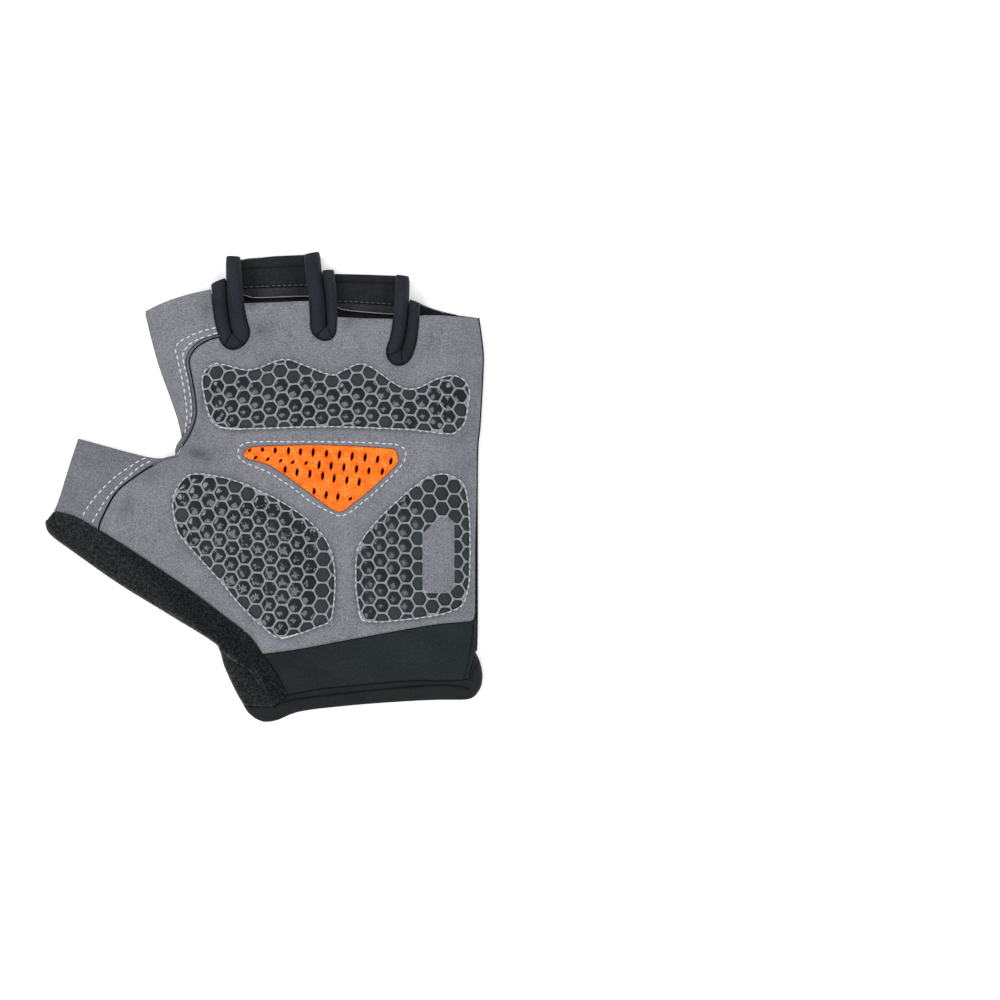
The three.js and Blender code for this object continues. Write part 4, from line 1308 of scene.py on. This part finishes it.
# %% Wrist hem
HEM_FRONT = 1.75  # how thick the hem is in front
HEM_BACK = 2.3
HEM_GAP = 0.05
hem_outline = shrunk(joined(
    smooth_line(hem_by_terry), smooth_line(hem_by_back), smooth_line(cuff_bottom), smooth_line(hem_side),
    smooth_line(hem_bottom), smooth_line(hem_fold)[::-1],
), HEM_GAP)
hem_seam = smooth_line([
    (3.4, -75.1), (5.1, -74.0), (9.2, -72.8), (14.1, -71.9), (22.4, -70.9), (40.0, -69.0), (56.4, -67.7),
    (65.0, -67.8), (68.6, -68.7),
], 0.6)
side_fold = smooth_line([(72.6, -58.6), (71.6, -62.0), (70.2, -65.2)], 0.6)
BEHIND = 0.7  # the back's edge lies higher than the front's, so that no light falls through between them
wrist_line = smooth_line([*hem_by_terry, *hem_by_back[1:], *cuff_bottom[1:]])
wrist_behind = wrist_line + left_normals(wrist_line) * BEHIND
terry_ends = int(np.argmin(np.hypot(*(wrist_line - hem_by_back[0]).T)))
hem_turn = np.vstack([
    smooth_line(hem_side, 0.8), smooth_line(hem_bottom, 0.8)[1:], smooth_line(hem_fold, 0.8)[::-1][1:],
])


def hem_face(places):
    """The hem's front with its sunk seam and its side fold."""
    height = above(palm_inner, HEM_FRONT)(places)
    height = height - swell(places, hem_seam, 1.1, 0.35)
    return height - swell(places, side_fold, 1.2, 0.6)


hem_front = slab(
    hem_outline, hem_face, palm_inner, edge=0.5, features=[hem_seam, side_fold], folds=[(hem_turn, 1.5)],
)
hem_back_outline = shrunk(joined(
    wrist_behind, smooth_line(hem_side), smooth_line(hem_bottom), smooth_line(hem_fold)[::-1],
), HEM_GAP)
hem_back = slab(hem_back_outline, back_inner(HEM_BACK), back_outer(HEM_BACK), edge=0.5, spacing=2.0)
add_piece("wrist_hem", together(hem_front, hem_back), hem_cloth, ["wrist_binding"])

# %% [markdown]
# ## Towelling
#
# Towelling wraps the thumb's back edge: a strip in front, a fold, and a broad back. The cloth itself
# is two slabs that meet along the fold. What makes it towelling are its loops, so short bent strands
# are scattered over the front, up to its rounded fold. All of them are in one mesh with the cloth.

# %% The towelling's cloth
TERRY = 2.3  # how thick it is with its loops
TERRY_GAP = 0.1
TERRY_ROUND = 2.2  # radius of its fold
terry_fold = np.vstack([smooth_line(thumb_under, 0.8), smooth_line(hem_fold, 0.8)[1:]])
terry_front_outline = shrunk(joined(
    smooth_line(terry_by_thumb), smooth_line(terry_by_palm), smooth_line(terry_by_cuff),
    smooth_line(hem_by_back)[::-1], smooth_line(hem_by_terry)[::-1], smooth_line(thumb_under)[::-1],
), TERRY_GAP)
terry_back_outline = shrunk(joined(
    smooth_line(terry_back)[:-1], wrist_behind[:terry_ends][::-1], smooth_line(thumb_under)[::-1],
    smooth_line(thumb_mouth)[::-1], smooth_line(thumb_top)[::-1],
), TERRY_GAP)
ridge = smooth_line([(-15.0, -55.6), (-12.4, -57.2), (-9.8, -58.9), (-6.7, -60.9)], 0.7)
folds_down = [
    smooth_line([(-6.7, -60.9), (-4.3, -62.5), (-2.7, -64.3), (-1.7, -66.4), (-0.9, -68.2)], 0.7),
    smooth_line([(-3.8, -61.2), (-1.7, -63.8), (-0.1, -67.2), (0.9, -69.8), (1.4, -71.1)], 0.7),
]
pocks = chance.uniform(0, 2 * math.pi, (6, 2))


def pile(places):
    """The uneven height of the loops, from a few crossing waves."""
    total = 0
    for k, (phase, angle) in enumerate(pocks):
        run = np.array([math.cos(angle), math.sin(angle)]) * (3.3 + 0.9 * k)
        total = total + np.sin(places @ run + phase)
    return total / len(pocks)


def terry_face(places):
    """The uneven front of the towelling, with a ridge and two folds by the wrist."""
    height = above(palm_inner, TERRY - 0.25)(places) + 0.4 * pile(places)
    height = height + swell(places, ridge, 0.5, 1.3)
    for fold in folds_down:
        height = height + swell(places, fold, 0.35, 0.8)
    return height


terry_front = slab(
    terry_front_outline, terry_face, palm_inner, spacing=0.75, edge=0.5, folds=[(terry_fold, TERRY_ROUND)],
)
terry_rear = slab(terry_back_outline, back_inner(TERRY), back_outer(TERRY), spacing=1.8, edge=0.6)

# %% Its loops
LOOPS = 2600  # at most
LOOPS_FROM_FOLD = 0.9
LOOPS_FROM_SEAM = 0.45


def loops_on(outline, face, count, fold, fold_radius):
    """Little arches that stand on the cloth in every direction."""
    low, high = outline.min(0), outline.max(0)
    places = chance.uniform(low, high, (count * 6, 2))
    places = places[inside(places, outline) & (distance_to(places, fold) > LOOPS_FROM_FOLD)]
    places = places[distance_to(places, closed(outline)) > LOOPS_FROM_SEAM][:count]
    fall = lip(distance_to(places, fold), fold_radius)
    heights = face(places) - fall
    near_fold = np.clip(1 - distance_to(places, fold) / fold_radius, 0, 1)
    arches = []
    for place, height, near in zip(places, heights, near_fold):
        turn = chance.uniform(0, math.pi)
        wide, tall = chance.uniform(0.35, 0.6), chance.uniform(0.35, 0.6)
        bend = np.array([-1, -0.6, 0, 0.6, 1.0]) * wide
        up = np.array([-0.25, 0.6, 1.0, 0.6, -0.25]) * tall * (1 - 0.5 * near)
        x = place[0] + bend * math.cos(turn)
        y = place[1] + bend * math.sin(turn)
        arches.append(strand(np.column_stack([x, y, height + up]), 0.17))
    return together(*arches)


front_loops = loops_on(terry_front_outline, terry_face, LOOPS, terry_fold, TERRY_ROUND)
terry = together(terry_front, terry_rear, front_loops)
add_piece("towelling_thumb", terry, towelling, ["terry_thumb_panel"])


def fold_roll(line, radius):
    """A soft fold that stands out of the loops."""
    girth = radius * np.sin(np.linspace(0.15, math.pi - 0.15, len(line))) ** 0.5
    return strand(np.column_stack([line, terry_face(line) - 0.15]), girth, 8)


fold_rolls = [fold_roll(ridge, 0.8), *[fold_roll(fold, 0.55) for fold in folds_down]]
# The rolls carry the paler towelling, a painted highlight along the ridge and the folds.
add_piece("towelling_folds", together(*fold_rolls), towelling_fold_highlight, sharp=80)

# %% [markdown]
# ## The back
#
# The glove lies on its back, so this cut of black stretch knit is mostly hidden. It still has its true
# outline: it turns up to the side seams, and its finger ends reach past the palm's.

# %% Back panel
STRETCH = 1.2  # how thick the knit is
back_outline = shrunk(joined(
    smooth_line(index_side)[::-1], even_steps(back_mouth, 1.0), smooth_line(ulnar_side)[:-1],
    wrist_behind[terry_ends:][::-1], smooth_line(terry_back)[:-1][::-1],
), SEAM_GAP)
back = slab(back_outline, back_inner(STRETCH), back_outer(STRETCH), spacing=2.2, edge=0.4, cuts=back_cuts)
add_piece("stretch_back", back, stretch, ["back_panel"])

# %% [markdown]
# ## Gussets between the fingers
#
# A gusset is one strip of cloth that runs down the side of one finger, round the crotch and up the
# next finger. From above it shows as two soft rolls that meet in a fan of small folds. A sweep does
# this well: one bent section, carried along the slit, with the folds pressed into its turn.

# %% Gussets
GUSSET_WALL = 1.1
GUSSET_SWELL = 0.8  # how far it stands over the palm beside it
GUSSET_GAP = 0.01  # between it and the palm's cut
fan_folds = [(-40, 6.0, 1.5), (32, 6.0, 1.3), (-4, 5.0, 0.5)]  # angle from straight down, width and depth


def gusset(slit):
    """A roll of cloth swept along the slit. Its section runs from underneath, over the top, and down
    beside the palm."""
    places, out, lean, reach = gutter(slit)
    count = len(places)
    beside = suede_top(places + out * reach[:, None])
    around = np.radians(np.linspace(-96, 205, 30))
    half = (beside + GUSSET_SWELL) / 2
    pinch = sum(depth * np.exp(-(((lean - at) / width) ** 2)) for at, width, depth in fan_folds)
    pinch = pinch * (np.abs(lean) < 89)
    from_mouth = np.minimum(np.arange(count), np.arange(count)[::-1])
    slant = np.where(np.arange(count) < count / 2, *slit["slant"]) * np.exp(-from_mouth / 3.0)
    rounding = 1 - 0.12 * np.exp(-from_mouth / 0.8)
    crown = 0.54 * reach
    corners = []
    for inset in (0.0, GUSSET_WALL):
        for angle in around:
            slit_side = math.cos(angle) > 0
            wide = (crown if slit_side else reach - GUSSET_GAP - crown) - inset
            blunt = 0.95 if slit_side else 0.65
            across = crown - wide * np.sign(math.cos(angle)) * abs(math.cos(angle)) ** blunt
            across = crown + (across - crown) * rounding
            up = half + (half - inset) * rounding * np.sign(math.sin(angle)) * abs(math.sin(angle)) ** 0.85
            up = up - pinch * max(math.sin(angle), 0)
            flat = places + out * across[:, None]
            flat[:, 1] -= slant * across / reach
            corners.append(np.column_stack([flat, up]))
    ring = 2 * len(around)
    corners = np.array(corners).transpose(1, 0, 2)
    order = [*range(len(around)), *range(2 * len(around) - 1, len(around) - 1, -1)]
    corners = corners[:, order].reshape(-1, 3)
    faces = [list(range(ring))[::-1], [(count - 1) * ring + i for i in range(ring)]]
    for level in range(count - 1):
        faces += ring_faces(level * ring, (level + 1) * ring, ring)
    return corners, faces


for name, slit in slits.items():
    add_piece(f"gusset_{name}", gusset(slit), gusset_cloth, [f"fourchette_{name}"], sharp=60)

# %% [markdown]
# ## Hems inside the fingers
#
# Behind the palm's edge the back of the middle and the ring finger shows its turned-in hem: a flat
# band with a row of stitches and, along its end, the pale raw edge of the cloth.

# %% Finger hems
finger_hems = {
    "middle": {
        "top": [(-12.6, 76.7), (-6.0, 77.6), (3.5, 78.5), (19.4, 79.2)],
        "crease": [(-12.6, 73.8), (19.4, 75.4)],
        "stitches": [(-9.0, 67.8), (-3.0, 68.1), (6.0, 68.4), (16.0, 68.6)],
        "cut_edge": [(-9.0, 66.0), (-5.6, 64.7), (-3.6, 64.3), (2.2, 64.4), (9.0, 64.7), (16.0, 64.8)],
    },
    "ring": {
        "top": [(19.4, 72.5), (34.0, 72.2), (49.4, 71.6)],
        "crease": [(19.4, 69.8), (49.4, 69.0)],
        "stitches": [(23.0, 63.1), (30.0, 62.9), (37.0, 62.5), (45.0, 62.1)],
        "cut_edge": [(24.0, 61.6), (25.8, 60.5), (28.0, 60.0), (33.9, 59.4), (42.6, 58.7), (45.6, 58.6)],
    },
}


TURNED_IN = 1.1  # how thick the turned-in cloth is


def hem_top(places):
    return back_inner(STRETCH)(places) + TURNED_IN


def finger_hem(name, top, crease, stitches, cut_edge):
    """The band of a finger hem, and below its stitches the inside of the knit with its cut edge."""
    crease = even_steps(crease, 0.8)
    seam, edge_curve = smooth_line(stitches, 0.6), smooth_line(cut_edge, 0.6)
    seam_out = np.vstack([[(top[0][0], seam[0][1])], seam, [(top[-1][0], seam[-1][1])]])
    edge_out = np.vstack([[(top[0][0], edge_curve[0][1])], edge_curve, [(top[-1][0], edge_curve[-1][1])]])

    def band_face(places):
        sunk = swell(places, crease, 0.7, 0.35) + swell(places, seam, 0.3, 0.4)
        return hem_top(places) - sunk

    def on_back(places):
        return back_inner(STRETCH)(places) + 0.05

    band = np.vstack([even_steps(top, 1.0), seam_out[::-1] - (0, 0.5)])
    flap = np.vstack([seam_out - (0, 0.6), edge_out[::-1]])
    band, flap = (shape if size_of(shape) > 0 else shape[::-1] for shape in (band, flap))
    cuts = [cut for cut in back_cuts if abs(cut[:, 0].mean() - band[:, 0].mean()) < 20]
    band = slab(band, band_face, on_back, edge=0.4, cuts=cuts, spacing=1.1, features=[crease, seam])
    flap = slab(flap, lambda p: hem_top(p) - 0.35, on_back, edge=0.25, cuts=cuts, spacing=1.1)
    add_piece(f"hem_{name}_finger", band, stretch, [f"{name}_finger_hem"])
    add_piece(f"hem_inside_{name}_finger", flap, raw_side)
    return seam, edge_curve


hem_seams = {name: finger_hem(name, **lines) for name, lines in finger_hems.items()}

# %% [markdown]
# ## Stitches
#
# A stitch is a short piece of thread that comes out of the cloth, lies on it, and goes back in. Each
# row follows its line on the cloth's own face, with one small bent strand for each stitch.

# %% Rows of stitches
STITCH_KNOTS = np.array([0, 0.12, 0.35, 0.65, 0.88, 1.0])  # along a stitch
STITCH_LIFT = np.array([-1.0, 0.25, 0.75, 0.75, 0.25, -1.0])  # times its radius
STITCH_GIRTH = np.array([0.6, 0.9, 1.05, 1.05, 0.9, 0.6])


def stitch_row(line, face, pitch=2.3, length=1.45, radius=0.22):
    """Stitches along a line on a face, a little uneven as a sewing machine leaves them."""
    along = np.concatenate([[0], np.cumsum(np.hypot(*np.diff(line, axis=0).T))])
    firsts = np.arange(0, along[-1] - length, pitch)
    firsts = firsts + chance.normal(0, 0.05, len(firsts))
    at = (firsts[:, None] + length * STITCH_KNOTS).ravel()
    places = np.column_stack([np.interp(at, along, line[:, axis]) for axis in (0, 1)])
    lifts = np.tile(radius * STITCH_LIFT, len(firsts))
    points = np.column_stack([places, face(places) + lifts]).reshape(len(firsts), -1, 3)
    points[:, :, :2] += chance.normal(0, 0.04, (len(firsts), 1, 2))
    return together(*[strand(stitch, radius * STITCH_GIRTH, sides=6) for stitch in points])


def add_stitches(name, rows, material=white_thread):
    add_piece(f"stitches_{name}", together(*rows), material, sharp=70)


add_stitches("index", [stitch_row(row, suede_face) for row in index_rows])
add_stitches("thumb", [stitch_row(row, suede_face) for row in thumb_rows])
add_stitches("vent", [stitch_row(closed(vent_row), suede_face)])
finer = {"pitch": 1.9, "length": 1.2, "radius": 0.16}
hem_threads = [stitch_row(seam, hem_top, **finer) for seam, _ in hem_seams.values()]
add_stitches("finger_hems", hem_threads, grey_thread)

# %% Stitches round the pads
# Each row ends with a few stitches sewn over one another, so that it can't come loose.
sewn_twice = {
    "knuckle": [(-14.8, 19.9), (-11.0, 19.4), (-6.9, 19.2)],
    "thenar": [(6.0, -51.6), (9.2, -50.9), (12.6, -49.8)],
    "heel": [(32.4, -42.2), (33.6, -45.2), (35.4, -45.7)],
}
pads = {
    "knuckle": (knuckle_outline, knuckle_face), "thenar": (thenar_outline, thenar_face),
    "heel": (heel_outline, heel_face),
}
thicker = {"pitch": 1.5, "length": 1.7, "radius": 0.3}
for name, (outline, face) in pads.items():
    row = stitch_row(closed(shrunk(outline, 0.12)), face)
    over = stitch_row(smooth_line(sewn_twice[name], 0.5), lambda p: face(p) + 0.2, **thicker)
    add_stitches(name, [row, over], pad_thread)

# %% Raw edges and a painted highlight
# Where the knit is cut inside the finger hems, its pale core shows as a thin line. The same pale strand
# runs along the little finger's top edge, and along the middle finger's top fold it is a painted highlight.
little_edge = smooth_line([(50.0, 63.4), (54.0, 61.6), (60.2, 59.6), (65.5, 58.4)], 0.6)
# Painted highlight along the fold at the middle finger's top edge.
middle_top_highlight = smooth_line([(-8.0, 77.1), (-5.8, 77.6), (-0.7, 78.0)], 0.6)
raw_edges_and_highlight = [  # line, face and radius
    *[(line, hem_top, 0.2) for _, line in hem_seams.values()],
    (little_edge, lambda p: back_inner(STRETCH)(p) + 0.2, 0.16),
    (middle_top_highlight, lambda p: hem_top(p) + 0.1, 0.14),
]
edge_strands = [
    strand(np.column_stack([line, face(line) - 0.15]), radius, 6) for line, face, radius in raw_edges_and_highlight
]
add_piece("raw_edges_and_highlight", together(*edge_strands), raw_edge_and_highlight, sharp=80)

# %% [markdown]
# ## Stage, light and camera
#
# The photo was taken straight from above in very even light. Four soft boxes stand round the glove, so
# that shadows stay pale. A fifth hangs beside the camera: it is what the level middles of the gel
# cells mirror. A dim surrounding fills the rest.

# %% Floor
def floor_finish():
    material, add, set_input, place = finish_for("pale_floor", roughness=0.9, specular=0.1)
    soft = blotches(add, place, 8)
    set_input("Base Color", blend_colours(add, soft, linear(246, 246, 247), linear(250, 250, 250)))
    shader = material.node_tree.nodes["Principled BSDF"]
    shader.inputs["Emission Color"].default_value = (1, 1, 1, 1)
    shader.inputs["Emission Strength"].default_value = 0.35
    return material


FLOOR_HALF = 3.0
FLOOR_LEVEL = -0.3 * MM  # just under the glove
floor_square = [(-1, -1), (1, -1), (1, 1), (-1, 1)]
floor_corners = [(x * FLOOR_HALF, y * FLOOR_HALF, FLOOR_LEVEL) for x, y in floor_square]
floor_mesh = bpy.data.meshes.new("floor")
floor_mesh.from_pydata(floor_corners, [], [(0, 1, 2, 3)])
floor_mesh.materials.append(floor_finish())
floor = bpy.data.objects.new("floor", floor_mesh)
bpy.context.scene.collection.objects.link(floor)

# %% Lights
def soft_box(name, place, size, power):
    light = bpy.data.lights.new(name, "AREA")
    light.size = size
    light.energy = power
    holder = bpy.data.objects.new(name, light)
    holder.location = place
    holder.rotation_euler = (-Vector(place)).to_track_quat("-Z", "Y").to_euler()
    bpy.context.scene.collection.objects.link(holder)


soft_box("box_upper_left", (-0.9, 0.8, 1.1), 0.7, 10.4)
soft_box("box_upper_right", (0.9, 0.9, 1.1), 0.7, 8.4)
soft_box("box_lower_left", (-0.9, -0.9, 1.0), 0.7, 7.6)
soft_box("box_lower_right", (1.0, -0.8, 1.0), 0.7, 7.6)
soft_box("box_overhead", (-0.3, -0.33, 1.7), 0.8, 8.0)

world = bpy.data.worlds.new("surrounding")
world.use_nodes = True
world.node_tree.nodes["Background"].inputs["Color"].default_value = (0.9, 0.93, 1.0, 1)
world.node_tree.nodes["Background"].inputs["Strength"].default_value = 0.27
bpy.context.scene.world = world
bpy.context.scene.view_settings.view_transform = "Standard"

# %% Camera
PIXEL = 0.34 * MM  # size of one of the photo's thousand pixels on the glove
ORIGIN_PIXEL = (264, 486)  # where the frame's origin lies in the photo
EYE_HEIGHT = 1.5
MIDDLE_HEIGHT = 0.008  # of the glove, where a pixel has that size
SENSOR = 36
camera_data = bpy.data.cameras.new("camera")
camera = bpy.data.objects.new("camera", camera_data)
camera.location = ((500 - ORIGIN_PIXEL[0]) * PIXEL, (ORIGIN_PIXEL[1] - 500) * PIXEL, EYE_HEIGHT)
camera_data.sensor_width = SENSOR
camera_data.lens = SENSOR * (EYE_HEIGHT - MIDDLE_HEIGHT) / (1000 * PIXEL)
bpy.context.scene.collection.objects.link(camera)
bpy.context.scene.camera = camera
